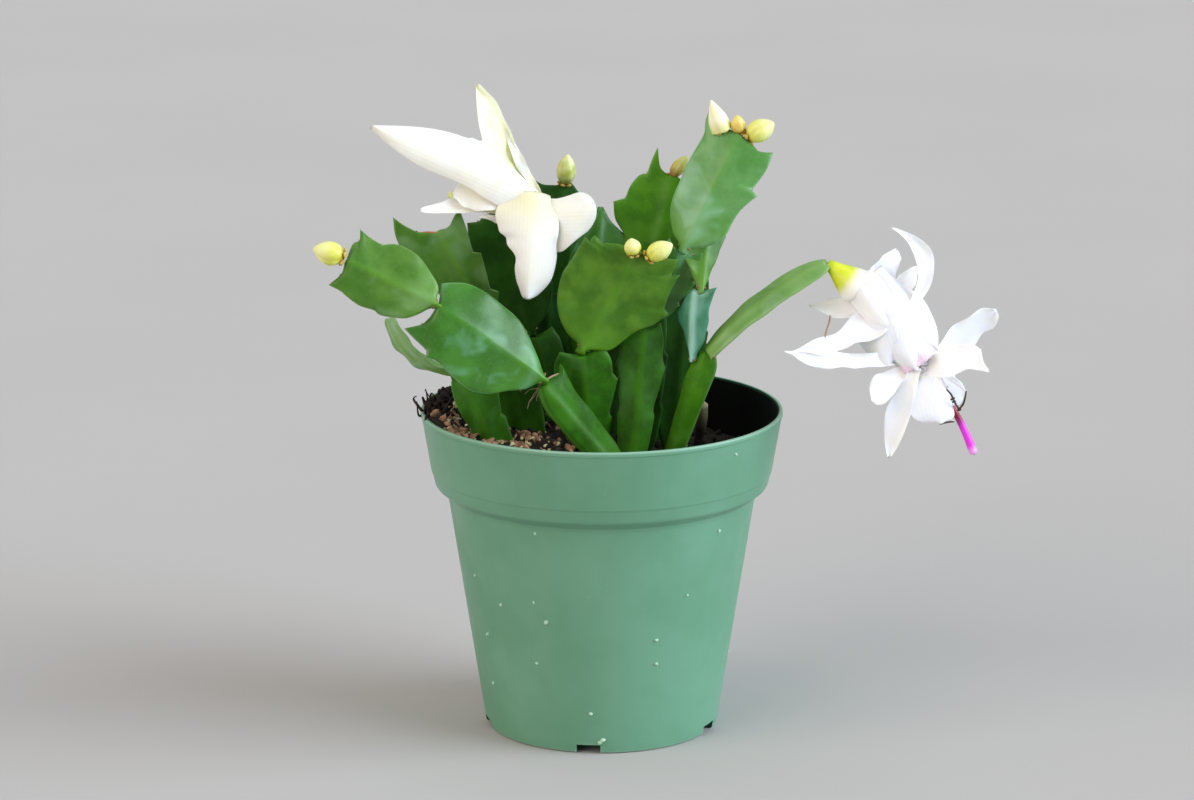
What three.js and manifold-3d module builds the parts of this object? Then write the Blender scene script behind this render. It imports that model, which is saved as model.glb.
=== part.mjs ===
// A flowering christmas cactus in its nursery pot, in millimetres, +Z up and the front at -Y.
// The origin is the middle of the flat disc under the pot, where it stands.
import * as THREE from "three";
import { mergeVertices } from "three/addons/utils/BufferGeometryUtils.js";
import Module from "manifold-3d";

const wasm = await Module();
wasm.setup();

// Driving dimensions of the pot: a four inch nursery pot, 108 across the rim and 97 high.
const POT = {
  height: 97,
  rimRadius: 54,
  collarFootRadius: 50,
  collarFoot: 76,
  shoulderRadius: 46.2,
  shoulder: 71,
  baseRadius: 35,
  corner: 1.6,
  lip: 1,
  lipRound: 0.4,
  wall: 1.3,
  footRadius: 20,
  channelInner: 22,
  channelOuter: 31,
  channelDepth: 1.3,
  segments: 48,
};

// Drain slots through the corner of the base; the first sits a little left of the front.
const DRAINS = { count: 5, width: 7, height: 2.9, reach: 7, turn: -6.4 };

// Potting mix: it falls from high at the left to low at the right, with a heap against the left rim.
const MIX = {
  high: 93.5,
  low: 80.5,
  fall: 15,
  fallCentre: 6,
  heap: 3,
  heapStart: 40,
  heapWidth: 10,
  lump: 0.7,
  gridSteps: 14,
};

// Clearance between pieces that touch, and how far a piece runs on into its seat before it is cut there.
const GAP = 0.3;
const PAD_NECK = 2.4;
const BUD_NECK = 1.6;
const TEPAL_NECK = 3;

// Thickness of stem pads and of tepals: at the margin, across the blade, and extra along the midrib.
const PAD_FLESH = { margin: 1.2, body: 2.4, rib: 1.4 };
const STEM_FLESH = { margin: 1.6, body: 3.4, rib: 2.2 };
const TEPAL_FLESH = { margin: 0.5, body: 0.9, rib: 0.2 };

// Columns across a blade, from its left margin to its right one, and steps along a bulged run.
const PAD_COLUMNS = [-1, -0.5, 0, 0.5, 1];
const TEPAL_COLUMNS = [-1, 0, 1];
const RUN_STEPS = 2;

// One margin from base to apex as [along, half width, bulge of the run that leads here].
// A short run without a bulge is the notch above a tooth, and the last point is the horn at the apex.
const OUTLINES = {
  stem: {
    dip: 0.96,
    points: [
      [0, 0.42, 0], [0.45, 0.72, 0.03], [0.49, 0.66, 0],
      [0.74, 0.98, 0.03], [0.78, 0.88, 0], [1, 0.7, 0.04],
    ],
  },
  broad: {
    dip: 0.95,
    points: [
      [0, 0.13, 0], [0.34, 0.86, 0.16], [0.38, 0.82, 0],
      [0.66, 1, 0.05], [0.7, 0.93, 0], [1.04, 0.7, 0.08],
    ],
  },
  square: {
    dip: 0.95,
    points: [
      [0, 0.15, 0], [0.3, 0.84, 0.14], [0.34, 0.78, 0],
      [0.63, 1, 0.05], [0.67, 0.9, 0], [1.03, 0.9, 0.02],
    ],
  },
  horned: {
    dip: 0.97,
    points: [
      [0, 0.14, 0], [0.3, 0.8, 0.14], [0.34, 0.75, 0],
      [0.61, 1, 0.05], [0.67, 0.79, 0],
      [0.84, 0.72, 0.02], [0.88, 0.6, 0], [1.12, 0.42, 0.03],
    ],
  },
  slender: {
    dip: 0.98,
    points: [
      [0, 0.22, 0], [0.3, 0.86, 0.08], [0.34, 0.85, 0],
      [0.62, 1, 0.02], [0.66, 0.97, 0], [1, 0.35, 0.1],
    ],
  },
  tepal: {
    dip: 1,
    points: [
      [0, 0.34, 0], [0.3, 0.84, 0.06], [0.36, 0.9, 0],
      [0.6, 1, 0.01], [0.68, 0.95, 0], [1, 0.1, 0.16],
    ],
  },
};

const GREEN = { color: 0x3f7a2c, roughness: 0.42 };
const BLUE_GREEN = { color: 0x2f6b45, roughness: 0.38 };
const DARK_GREEN = { color: 0x1f4a24, roughness: 0.45 };
const YELLOW_BUD = { color: 0xd9d45c, roughness: 0.5 };
const ORANGE_BUD = { color: 0xc9782e, roughness: 0.55 };
const CREAM = { color: 0xf3ecd2, roughness: 0.6 };
const WHITE = { color: 0xf6f3f2, roughness: 0.6 };
const MAGENTA = { color: 0xc5178d, roughness: 0.4 };
const FILAMENT = { color: 0xe8d9dc, roughness: 0.5 };
const SAGE_PLASTIC = { color: 0x5b9474, roughness: 0.45 };
const PEAT = { color: 0x3a2a1e, roughness: 0.95 };

// What blades of one kind share.
const STEM = { outline: "stem", flesh: STEM_FLESH, columns: PAD_COLUMNS, neck: 0 };
const PAD = { outline: "broad", flesh: PAD_FLESH, columns: PAD_COLUMNS, neck: PAD_NECK };
const TEPAL = { outline: "tepal", flesh: TEPAL_FLESH, columns: TEPAL_COLUMNS, neck: TEPAL_NECK };

// Pads that stand in the mix, and then the pads above them. A face points out of the pad's front.
const STEM_PADS = [
  { name: "front_left_stem", base: [4.5, -32, 84], apex: [-15.9, -38, 114.4], face: [0.5, -0.75, 0.4],
    width: 9.5 },
  { name: "right_stem", base: [17.5, -12.5, 74], apex: [29.8, -18, 117], face: [-0.3, -0.95, 0.1],
    width: 11 },
  { name: "centre_stem", base: [-3, -17, 80], apex: [-5.9, -24, 120.5], face: [0.1, -0.95, 0.2], width: 20 },
  { name: "tall_stem", base: [8, -22, 77], apex: [12.4, -16, 127], face: [0.1, -1, 0], width: 15 },
  { name: "left_stem", base: [-27, -24, 84], apex: [-42.5, -22, 113], face: [-0.1, -0.95, 0.2], width: 18 },
  { name: "upper_left_stem", base: [-19.5, -12, 82], apex: [-31, -9, 121.5], face: [0, -1, 0.1], width: 15 },
  { name: "flower_stem", base: [-13, 1, 80], apex: [-20.6, 4, 119.5], face: [0.3, -0.9, 0.1], width: 14 },
  { name: "top_stem", base: [-3, 6, 79], apex: [-7, 10, 121.5], face: [-0.2, -1, 0], width: 14 },
  { name: "back_right_stem", base: [16, 12, 76], apex: [20, 22, 112], face: [0.4, 0.8, 0.2], width: 15 },
  { name: "back_stem", base: [-2, 22, 78], apex: [0, 32, 112], face: [0, 1, 0.2], width: 16 },
  { name: "back_left_stem", base: [-22, 15, 80], apex: [-28, 25, 112], face: [-0.5, 0.8, 0.2], width: 15 },
  { name: "left_small_stem", base: [-33, 3, 84], apex: [-43, 13, 108], face: [-0.7, 0.6, 0.3], width: 13 },
].map((form) => ({ ...STEM, look: GREEN, ...form }));

const PADS = [
  { name: "front_left_pad", base: [-17.3, -38.6, 115.2], apex: [-47.3, -42, 137.3], width: 28,
    face: [0.15, -0.9, 0.4], bow: 1.5, look: BLUE_GREEN },
  { name: "front_left_tip_pad", outline: "square", base: [-47.8, -42.1, 137.9],
    apex: [-73.4, -40, 150.6], width: 22.5,
    face: [0, -0.9, 0.35], bow: -1 },
  { name: "right_arching_pad", outline: "slender", base: [32, -18.6, 118.6], apex: [65.9, -19, 144.8],
    width: 12,
    face: [-0.52, -0.5, 0.69], bow: 2.8 },
  { name: "right_inner_pad", base: [27.4, -19.6, 118.2], apex: [28.8, -22, 137.7], width: 11.5,
    face: [-0.4, -0.85, 0.3], look: BLUE_GREEN },
  { name: "right_upper_pad", base: [28.9, -21.6, 138.3], apex: [31, -10, 156], width: 15,
    face: [0.3, -0.9, 0.1] },
  { name: "centre_pad", base: [-5.5, -24.4, 121.2], apex: [11.5, -25, 151.5], width: 30,
    face: [0.05, -1, -0.05], bow: -1.2, look: DARK_GREEN },
  { name: "centre_back_pad", base: [-4.5, -22, 121.3], apex: [-0.6, -6, 156.4], width: 19, skew: 0.05,
    face: [0.1, -0.95, 0.3], look: BLUE_GREEN },
  { name: "tall_middle_pad", base: [12.8, -16.4, 127.6], apex: [24, -19, 149.3], width: 15,
    face: [0.2, -0.95, 0.1], look: BLUE_GREEN },
  { name: "tall_right_pad", outline: "square", base: [24.1, -19.6, 150], apex: [41, -14, 184], width: 24,
    face: [-0.15, -0.95, 0.25], bow: 1.5, look: BLUE_GREEN },
  { name: "tall_left_pad", outline: "horned", base: [11.8, -14.6, 127.8], apex: [21.3, -3, 169.5], width: 28,
    face: [-0.1, -0.95, 0.2], bow: 1 },
  { name: "left_curved_pad", outline: "slender", base: [-44, -21, 113.4], apex: [-61.5, -22, 129.5],
    width: 12,
    face: [-0.75, -0.3, -0.6], bow: 4 },
  { name: "upper_left_pad", outline: "square", base: [-31.5, -9.2, 122], apex: [-48.6, -14, 155], width: 27,
    face: [-0.1, -0.95, 0.2], bow: 1, skew: 0.07 },
  { name: "flower_pad", base: [-20.8, 4.1, 120.1], apex: [-30, 2, 157.5], width: 23,
    face: [-0.2, -0.97, 0.1], look: DARK_GREEN },
  { name: "top_pad", base: [-7.2, 10.2, 122.1], apex: [-12.5, 14, 162], width: 20,
    face: [0.2, -0.95, 0.1], look: DARK_GREEN },
  { name: "back_right_pad", base: [20, 22.5, 112.7], apex: [16, 30, 145], width: 20,
    face: [0.4, 0.9, 0.2], bow: 1.5 },
  { name: "back_pad", base: [0, 32.5, 112.7], apex: [-8, 42, 139], width: 20, face: [0.1, 0.9, 0.3],
    bow: 1.5 },
  { name: "back_left_pad", base: [-28.2, 25.5, 112.6], apex: [-38, 34, 137], width: 18,
    face: [-0.5, 0.8, 0.3], bow: 1.5 },
].map((form) => ({ ...PAD, look: GREEN, ...form }));

// Flower buds, each an egg from its seat to its tip.
const BUDS = [
  { name: "left_yellow_bud", base: [-74.1, -40, 151.4], tip: [-82.6, -41, 154.2], width: 7 },
  { name: "centre_small_bud", base: [9.3, -27, 149.6], tip: [8.6, -28.5, 154.3], width: 5 },
  { name: "centre_yellow_bud", base: [13.6, -27, 148.6], tip: [20.2, -29, 153.4], width: 5.8 },
  { name: "tall_cream_bud", base: [35.6, -14.4, 183.9], tip: [31.5, -15, 192.4], width: 5.4, look: CREAM },
  { name: "tall_orange_bud", base: [39.9, -14.2, 184], tip: [40.3, -15, 188], width: 3.8, look: ORANGE_BUD },
  { name: "tall_yellow_bud", base: [43, -14, 183.6], tip: [49.4, -15, 187], width: 6 },
  { name: "top_bud", base: [-11.9, 14, 162.3], tip: [-10.1, 13, 171.4], width: 5.7 },
  { name: "tall_left_bud", base: [21.6, -3.6, 169.3], tip: [24.8, -6, 173.9], width: 3.8, look: ORANGE_BUD },
].map((form) => ({ kind: "turned", profile: "egg", neck: BUD_NECK, look: YELLOW_BUD, ...form }));

// The half open flower at the left: a tube that leans to the front, and its tepals.
const LEFT_FLOWER = [
  { name: "left_flower_tube", kind: "turned", profile: "trumpet", base: [-29.4, 0.6, 158.4],
    tip: [-21, -15, 161],
    width: 11, neck: BUD_NECK },
  { name: "left_flower_left_tepal", base: [-28.5, -9, 168], apex: [-67.3, -16, 184.7], width: 12.5,
    face: [0.2, -0.85, 0.5], bow: 2 },
  { name: "left_flower_upper_tepal", base: [-23, -7.5, 166], apex: [-36.9, -2, 194.6], width: 11.5,
    face: [0.5, -0.8, 0.3], bow: 1.5 },
  { name: "left_flower_low_left_tepal", base: [-28, -12, 161], apex: [-52.7, -18, 160], width: 9,
    face: [0, -0.8, 0.6], bow: -1 },
  { name: "left_flower_tongue", base: [-18.2, -17.5, 161], apex: [-21.2, -26, 135.6], width: 16.5,
    face: [0.1, -0.9, 0.4], bow: 2.5 },
  { name: "left_flower_right_tepal", base: [-16.5, -14.5, 161.5], apex: [-1.5, -20, 163.1], width: 13,
    face: [0.1, -0.9, 0.5], bow: 1 },
  { name: "left_flower_under_tepal", base: [-22.5, -17.5, 158.8], apex: [-35.5, -24, 156.5], width: 9,
    face: [-0.2, -0.9, 0.3], bow: 1 },
].map((form) => ({ ...TEPAL, look: CREAM, ...form }));

// The open flower at the right: ovary, long tube, recurved outer tepals, and the whorl at its mouth.
const RIGHT_FLOWER = [
  { name: "right_flower_ovary", kind: "turned", profile: "cone", base: [66.3, -19, 144.4],
    tip: [74.2, -19, 140.8],
    width: 9.4, neck: BUD_NECK, look: YELLOW_BUD },
  { name: "right_flower_tube", kind: "turned", profile: "trumpet", base: [74.9, -19, 140],
    tip: [92.5, -21, 115.8],
    width: 12.5, neck: BUD_NECK },
  { name: "right_flower_upper_tepal", base: [80.5, -17, 139.2], apex: [86, -11, 147.2], width: 10,
    face: [0.5, -0.6, 0.3], bow: 0.5 },
  { name: "right_flower_recurved_tepal", base: [85.4, -19.8, 135.5], apex: [85.4, -24, 155.6], width: 6.5,
    face: [0.9, -0.2, 0.2], bow: 8 },
  { name: "right_flower_left_tepal", base: [77.8, -16.2, 133.5], apex: [61.6, -8, 129.4], width: 8,
    face: [-0.1, -0.7, 0.7], bow: 0.5 },
  { name: "right_flower_low_left_tepal", base: [79, -22.6, 128.8], apex: [52.5, -33, 121.7], width: 9,
    face: [-0.2, -0.8, 0.55], bow: -1.5 },
  { name: "right_flower_inner_right_tepal", base: [97.2, -19.6, 118.6], apex: [115.2, -15, 130.2], width: 12,
    face: [0.5, -0.8, -0.3], bow: -1 },
  { name: "right_flower_inner_spike_tepal", base: [97, -23.5, 116.2], apex: [112.5, -31, 115.3], width: 8,
    face: [0.1, -0.9, 0.4], bow: 1 },
  { name: "right_flower_inner_left_tepal", base: [88, -24.5, 113], apex: [79.1, -30, 105.8], width: 9,
    face: [-0.3, -0.9, 0.2], bow: 0.5 },
  { name: "right_flower_inner_low_tepal", base: [91, -25.5, 113.4], apex: [84.2, -28, 89], width: 9,
    face: [-0.2, -0.95, 0.2], bow: 1 },
  { name: "right_flower_inner_middle_tepal", base: [95, -24, 113.8], apex: [99.3, -27, 98.4], width: 13,
    face: [0.2, -0.95, 0.1], bow: 2 },
].map((form) => ({ ...TEPAL, look: WHITE, ...form }));

// Stamens and style leave the mouth of the open flower. The stamens' foot is set into it, off its axis.
const STAMENS = { count: 4, spread: 2.6, reach: 15, radius: 0.45, foot: 2.5, offset: 1.6, lean: 2, sag: 0.5 };
const STYLE = {
  points: [[90.2, -20.6, 117.2], [97, -18.6, 110], [103, -18, 103], [108.9, -19, 90]],
  radius: 0.8,
};

const vector = (point) => new THREE.Vector3(...point);

function toSolid(geometry) {
  const bare = new THREE.BufferGeometry();
  bare.setAttribute("position", geometry.getAttribute("position"));
  if (geometry.index) bare.setIndex(geometry.index);
  const merged = mergeVertices(bare, 1e-4);
  return new wasm.Manifold(
    new wasm.Mesh({
      numProp: 3,
      vertProperties: new Float32Array(merged.attributes.position.array),
      triVerts: new Uint32Array(merged.index.array),
    }),
  );
}

function toGeometry(solid) {
  const mesh = solid.getMesh();
  const geometry = new THREE.BufferGeometry();
  geometry.setAttribute("position", new THREE.BufferAttribute(mesh.vertProperties, 3));
  geometry.setIndex(new THREE.BufferAttribute(mesh.triVerts, 1));
  geometry.computeVertexNormals();
  return geometry;
}

// A closed geometry between two matching grids of points, the front one and the back one.
function slabBetween(front, back) {
  const rows = front.length;
  const columns = front[0].length;
  const positions = [...front.flat(), ...back.flat()].flatMap((p) => p.toArray());
  const at = (side, row, column) => side * rows * columns + row * columns + column;
  const index = [];
  const quad = (a, b, c, d) => index.push(a, b, c, a, c, d);
  for (let r = 0; r < rows - 1; r++) {
    for (let c = 0; c < columns - 1; c++) {
      quad(at(0, r, c), at(0, r, c + 1), at(0, r + 1, c + 1), at(0, r + 1, c));
      quad(at(1, r, c), at(1, r + 1, c), at(1, r + 1, c + 1), at(1, r, c + 1));
    }
  }
  const edge = [];
  for (let c = 0; c < columns - 1; c++) edge.push([0, c]);
  for (let r = 0; r < rows - 1; r++) edge.push([r, columns - 1]);
  for (let c = columns - 1; c > 0; c--) edge.push([rows - 1, c]);
  for (let r = rows - 1; r > 0; r--) edge.push([r, 0]);
  edge.forEach((here, i) => {
    const next = edge[(i + 1) % edge.length];
    quad(at(0, ...here), at(1, ...here), at(1, ...next), at(0, ...next));
  });
  const geometry = new THREE.BufferGeometry();
  geometry.setAttribute("position", new THREE.Float32BufferAttribute(positions, 3));
  geometry.setIndex(index);
  return geometry;
}

// The points of one margin, with the bulged runs divided into RUN_STEPS.
function marginOf({ points }) {
  const margin = [{ along: points[0][0], half: points[0][1] }];
  for (let i = 1; i < points.length; i++) {
    const [alongBefore, halfBefore] = points[i - 1];
    const [along, half, bulge] = points[i];
    const steps = bulge ? RUN_STEPS : 1;
    for (let k = 1; k <= steps; k++) {
      const t = k / steps;
      margin.push({
        along: THREE.MathUtils.lerp(alongBefore, along, t),
        half: THREE.MathUtils.lerp(halfBefore, half, t) + bulge * Math.sin(Math.PI * t),
      });
    }
  }
  return margin;
}

// A leaf-like solid on a bowed spine, thickest on its midrib. Skew carries the left margin further along
// than the right one, and grow swells the solid all round for a clearance.
function bladeGeometry(form, grow = 0) {
  const { base, apex, face, width, bow = 0, skew = 0, outline, flesh, columns, neck } = form;
  const chord = vector(apex).sub(vector(base));
  const length = chord.length();
  const along = chord.clone().normalize();
  const out = vector(face).projectOnPlane(along).normalize();
  const across = new THREE.Vector3().crossVectors(along, out);
  const middle = vector(base).lerp(vector(apex), 0.5).addScaledVector(out, 2 * bow);
  const spine = new THREE.QuadraticBezierCurve3(vector(base), middle, vector(apex));
  const { dip } = OUTLINES[outline];
  const margin = marginOf(OUTLINES[outline]);
  const last = margin.length - 1;
  const front = [];
  const back = [];
  margin.forEach(({ along: edgeAlong, half }, row) => {
    const endGrow = row === 0 ? -(neck + grow) / length : row === last ? grow / length : 0;
    const middleAlong = edgeAlong * THREE.MathUtils.lerp(1, dip, row / last);
    const frontRow = [];
    const backRow = [];
    for (const column of columns) {
      const skewedAlong = edgeAlong * (1 - skew * column);
      const u = THREE.MathUtils.lerp(middleAlong, skewedAlong, column * column) + endGrow;
      const inside = THREE.MathUtils.clamp(u, 0, 1);
      const tangent = spine.getTangent(inside);
      const normal = new THREE.Vector3().crossVectors(across, tangent).normalize();
      const place = spine.getPoint(inside).addScaledVector(tangent, (u - inside) * length);
      place.addScaledVector(across, column * (half * width * 0.5 + grow));
      const rib = column === 0 ? flesh.rib : 0;
      const thickness = THREE.MathUtils.lerp(flesh.body, flesh.margin, column * column) + rib;
      frontRow.push(place.clone().addScaledVector(normal, thickness / 2 + grow));
      backRow.push(place.clone().addScaledVector(normal, -thickness / 2 - grow));
    }
    front.push(frontRow);
    back.push(backRow);
  });
  return slabBetween(front, back);
}

// Half sections of the turned pieces, as [share of the length, share of the half width].
const PROFILES = {
  egg: [[0, 0], [0, 0.35], [0.2, 0.85], [0.42, 1], [0.68, 0.78], [0.9, 0.35], [1, 0]],
  cone: [[0, 0], [0, 0.32], [0.5, 0.68], [1, 1], [1, 0]],
  trumpet: [[0, 0], [0, 0.6], [0.3, 0.66], [0.7, 0.78], [1, 1], [1, 0]],
};
const TURNED_SEGMENTS = 9;

// A solid of revolution from its neck, a little behind the base, to its tip.
function turnedGeometry({ base, tip, width, profile, neck }, grow = 0) {
  const axis = vector(tip).sub(vector(base));
  const points = PROFILES[profile].map(([share, radius]) => {
    const y = THREE.MathUtils.lerp(-neck - grow, axis.length() + grow, share);
    return new THREE.Vector2(radius ? (radius * width) / 2 + grow : 0, y);
  });
  const turn = new THREE.Quaternion().setFromUnitVectors(new THREE.Vector3(0, 1, 0), axis.normalize());
  return new THREE.LatheGeometry(points, TURNED_SEGMENTS).applyQuaternion(turn).translate(...base);
}

// A round rod along hand-set points.
function rodGeometry(points, radius) {
  const path = new THREE.CatmullRomCurve3(points.map(vector));
  const section = new THREE.Shape().absarc(0, 0, radius, 0, 2 * Math.PI);
  return new THREE.ExtrudeGeometry(section, { steps: 6, extrudePath: path, curveSegments: 3 });
}

const shapeOf = (form, grow) =>
  form.kind === "turned" ? turnedGeometry(form, grow) : bladeGeometry(form, grow);

const largestOf = (solid) =>
  solid.decompose().reduce((best, one) => (one.volume() > best.volume() ? one : best));

// Each piece is cut clear of those placed before it, so that neighbours meet across the gap.
const placed = [];
const clearOfPlaced = (solid) =>
  largestOf(placed.reduce((rest, { grown }) => rest.subtract(grown), solid));

function place(form) {
  const solid = clearOfPlaced(toSolid(shapeOf(form, 0)));
  placed.push({ form, grown: toSolid(shapeOf(form, GAP)) });
  return solid;
}

function meshOf(name, solid, { color, roughness }) {
  const material = new THREE.MeshStandardMaterial({ color, roughness, metalness: 0 });
  const mesh = new THREE.Mesh(toGeometry(solid), material);
  mesh.name = name;
  return mesh;
}

// Half sections of the pot as [radius, height]: from the axis up the outside, and from the lip down inside.
function potOutline() {
  const p = POT;
  return {
    outside: [
      [0, 0],
      [p.footRadius, 0],
      [p.channelInner, p.channelDepth],
      [p.channelOuter, p.channelDepth],
      [p.baseRadius - p.corner, 0],
      [p.baseRadius - 0.4 * p.corner, 0.3 * p.corner],
      [p.baseRadius, p.corner],
      [p.shoulderRadius, p.shoulder],
      [p.collarFootRadius, p.collarFoot],
      [p.rimRadius, p.height - p.lip],
      [p.rimRadius - p.lipRound, p.height],
    ],
    inside: [
      [p.rimRadius - p.wall, p.height],
      [p.collarFootRadius - p.wall, p.collarFoot + p.lipRound],
      [p.shoulderRadius - p.wall, p.shoulder + p.lipRound],
      [p.baseRadius - p.wall, p.corner + p.wall],
      [p.channelOuter, p.channelDepth + p.wall],
      [p.channelInner, p.channelDepth + p.wall],
      [p.footRadius, p.wall],
      [0, p.wall],
    ],
  };
}

function latheOf(outline) {
  const points = outline.map(([radius, height]) => new THREE.Vector2(radius, height));
  return new THREE.LatheGeometry(points, POT.segments).rotateX(Math.PI / 2);
}

function potSolid() {
  const { outside, inside } = potOutline();
  let pot = toSolid(latheOf([...outside, ...inside]));
  for (let i = 0; i < DRAINS.count; i++) {
    const turn = THREE.MathUtils.degToRad(DRAINS.turn + (i * 360) / DRAINS.count);
    const slot = new THREE.BoxGeometry(DRAINS.width, DRAINS.reach, 2 * DRAINS.height)
      .translate(0, -POT.baseRadius, 0)
      .rotateZ(turn);
    pot = pot.subtract(toSolid(slot));
  }
  return pot;
}

// Height of the mix: a soft fall from left to right, a heap against the left rim, and lumps a few
// centimetres apart.
function mixHeight(x, y) {
  const { high, low, fall, fallCentre, heap, heapStart, heapWidth, lump } = MIX;
  const side = 0.5 - 0.5 * Math.tanh((x - fallCentre) / fall);
  const rise = heap * THREE.MathUtils.smoothstep(-x, heapStart, heapStart + heapWidth);
  const lumps = lump * (Math.sin(0.31 * x + 1.1) * Math.cos(0.27 * y) + 0.6 * Math.sin(0.53 * y - 0.2 * x));
  return THREE.MathUtils.lerp(low, high, side) + rise + lumps;
}

// The mix fills the pot from its floor, a gap clear of the wall, under a lumpy top.
function mixSolid() {
  const { inside } = potOutline();
  const plugOutline = inside.map(([r, z]) => [r ? r - GAP : 0, z < POT.shoulder ? z + GAP : z]);
  const plug = toSolid(latheOf(plugOutline.reverse().concat([[0, POT.height]])));
  const steps = MIX.gridSteps;
  const reach = 1.05 * POT.rimRadius;
  const places = Array.from({ length: steps + 1 }, (_, i) => reach * ((2 * i) / steps - 1));
  const top = places.map((y) => places.map((x) => new THREE.Vector3(x, y, mixHeight(x, y))));
  const bottom = places.map((y) => places.map((x) => new THREE.Vector3(x, y, -1)));
  let mix = plug.intersect(toSolid(slabBetween(top, bottom)));
  for (const { form, grown } of placed) if (form.outline === "stem") mix = mix.subtract(grown);
  return largestOf(mix);
}

// Stamens fan out from a common foot in the mouth.
function stamensSolid() {
  const { base, tip } = RIGHT_FLOWER.find(({ name }) => name === "right_flower_tube");
  const { count, spread, reach, radius, foot, offset, lean, sag } = STAMENS;
  const out = vector(tip).sub(vector(base)).normalize();
  const side = new THREE.Vector3(0, 1, 0).cross(out).normalize();
  const root = vector(tip).addScaledVector(out, -foot).addScaledVector(side, -offset);
  const filaments = Array.from({ length: count }, (_, i) => {
    const turn = THREE.MathUtils.lerp(-spread, spread, i / (count - 1)) - lean;
    const end = root.clone().addScaledVector(out, reach).addScaledVector(side, turn);
    const middle = root.clone().lerp(end, 0.5).addScaledVector(side, -sag);
    return toSolid(rodGeometry([root.toArray(), middle.toArray(), end.toArray()], radius));
  });
  return filaments.reduce((bundle, filament) => bundle.add(filament));
}

const stems = new THREE.Group();
for (const form of [...STEM_PADS, ...PADS]) stems.add(meshOf(form.name, place(form), form.look));

const flowers = new THREE.Group();
for (const form of [...BUDS, ...LEFT_FLOWER, ...RIGHT_FLOWER]) {
  flowers.add(meshOf(form.name, place(form), form.look));
}

const style = clearOfPlaced(toSolid(rodGeometry(STYLE.points, STYLE.radius)));
flowers.add(meshOf("right_flower_style", style, MAGENTA));
const styleRoom = toSolid(rodGeometry(STYLE.points, STYLE.radius + GAP));
const stamens = largestOf(clearOfPlaced(stamensSolid()).subtract(styleRoom));
flowers.add(meshOf("right_flower_stamens", stamens, FILAMENT));

const pot = new THREE.Group();
pot.add(meshOf("pot", potSolid(), SAGE_PLASTIC), meshOf("potting_mix", mixSolid(), PEAT));

const plant = new THREE.Group();
plant.add(pot, stems, flowers);
export default plant;
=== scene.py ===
"""Potted christmas cactus: a toothed, flowering plant in its nursery pot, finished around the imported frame.

Sizes are millimetres in the object's own frame: X to the right, Y away from the front and Z up, from the
middle of the pot's foot. They become metres only where a mesh, a material or the camera is made.
"""

import logging
import math
from dataclasses import dataclass, field
from enum import Enum
from typing import Iterable, Sequence

import bmesh
import bpy
import numpy as np
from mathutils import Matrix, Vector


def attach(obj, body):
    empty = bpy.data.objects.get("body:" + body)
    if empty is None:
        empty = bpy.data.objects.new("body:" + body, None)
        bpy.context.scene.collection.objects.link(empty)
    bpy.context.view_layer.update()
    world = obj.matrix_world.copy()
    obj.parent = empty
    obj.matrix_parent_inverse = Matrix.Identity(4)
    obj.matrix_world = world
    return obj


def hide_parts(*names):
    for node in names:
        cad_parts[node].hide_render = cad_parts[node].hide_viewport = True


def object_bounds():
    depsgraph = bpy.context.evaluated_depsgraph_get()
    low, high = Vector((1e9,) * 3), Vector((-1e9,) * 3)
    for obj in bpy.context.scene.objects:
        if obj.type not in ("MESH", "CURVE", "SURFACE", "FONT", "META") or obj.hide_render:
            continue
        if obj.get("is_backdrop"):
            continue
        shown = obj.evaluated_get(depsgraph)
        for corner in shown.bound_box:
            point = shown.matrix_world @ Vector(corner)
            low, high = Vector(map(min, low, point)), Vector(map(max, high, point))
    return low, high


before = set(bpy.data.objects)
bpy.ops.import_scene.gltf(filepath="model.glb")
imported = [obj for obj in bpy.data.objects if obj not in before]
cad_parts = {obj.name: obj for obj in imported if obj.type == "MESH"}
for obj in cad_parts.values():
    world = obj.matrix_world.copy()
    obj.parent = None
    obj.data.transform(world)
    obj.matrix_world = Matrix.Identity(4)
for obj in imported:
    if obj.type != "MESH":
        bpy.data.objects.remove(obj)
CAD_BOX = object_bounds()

LOG = logging.getLogger("potted_cactus")
MM = 0.001
BODY = "root"

# Short names for the types that come up most.
Vec = tuple[float, float, float]
Span = tuple[float, float]
Outline = tuple[tuple[float, ...], ...]
Tree = bpy.types.NodeTree
Socket = bpy.types.NodeSocket
Array = np.ndarray
Dice = np.random.Generator
# The third number of an outline's point: a tooth's sharp tip, or the areole's notch above it.
TIP, NOTCH = 1, 2
# What a mark reads, in millimetres, on a mesh that doesn't carry it: far from any edge, rib or seam.
FAR = 5.0
# A Mix node repeats its sockets' names for each kind of data, so its colour sockets go by number.
SHARE_IN, BELOW_IN, ABOVE_IN, COLOUR_OUT = 0, 6, 7, 2
# A cloud texture's values lie round a half: where the clouds' colour comes in, and where their gloss changes.
CLOUD_SPAN, GLOSS_SPAN = (0.34, 0.66), (0.3, 0.7)
# How far red, green and blue light travel through wet flesh, as shares of a finish's depth.
FLESH_REACH = (1.0, 0.85, 0.45)


class Mark(Enum):
    """The measures that a mesh carries at each point, for its finish to read."""

    ALONG = "along"
    FROM_EDGE = "from_edge"
    FROM_RIB = "from_rib"

    def read(self, tree: Tree, place: Socket) -> Socket:
        """Gives the socket that holds the measure in a material."""
        return add(tree, "ShaderNodeAttribute", attribute_name=self.value).outputs["Fac"]


class Skin(Enum):
    """The kinds of stem skin on the plant, each by the material slot it is filed under."""

    OLD = "stem_base"
    GREEN = "pad_green"
    BLUE = "pad_blue_green"
    DARK = "pad_dark_green"


class Tissue(Enum):
    """The kinds of petal tissue and bud skin, by material slot."""

    CREAM = "tepal_cream"
    WHITE = "tepal_white"
    YELLOW = "bud_yellow"
    ORANGE = "bud_orange"


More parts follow.
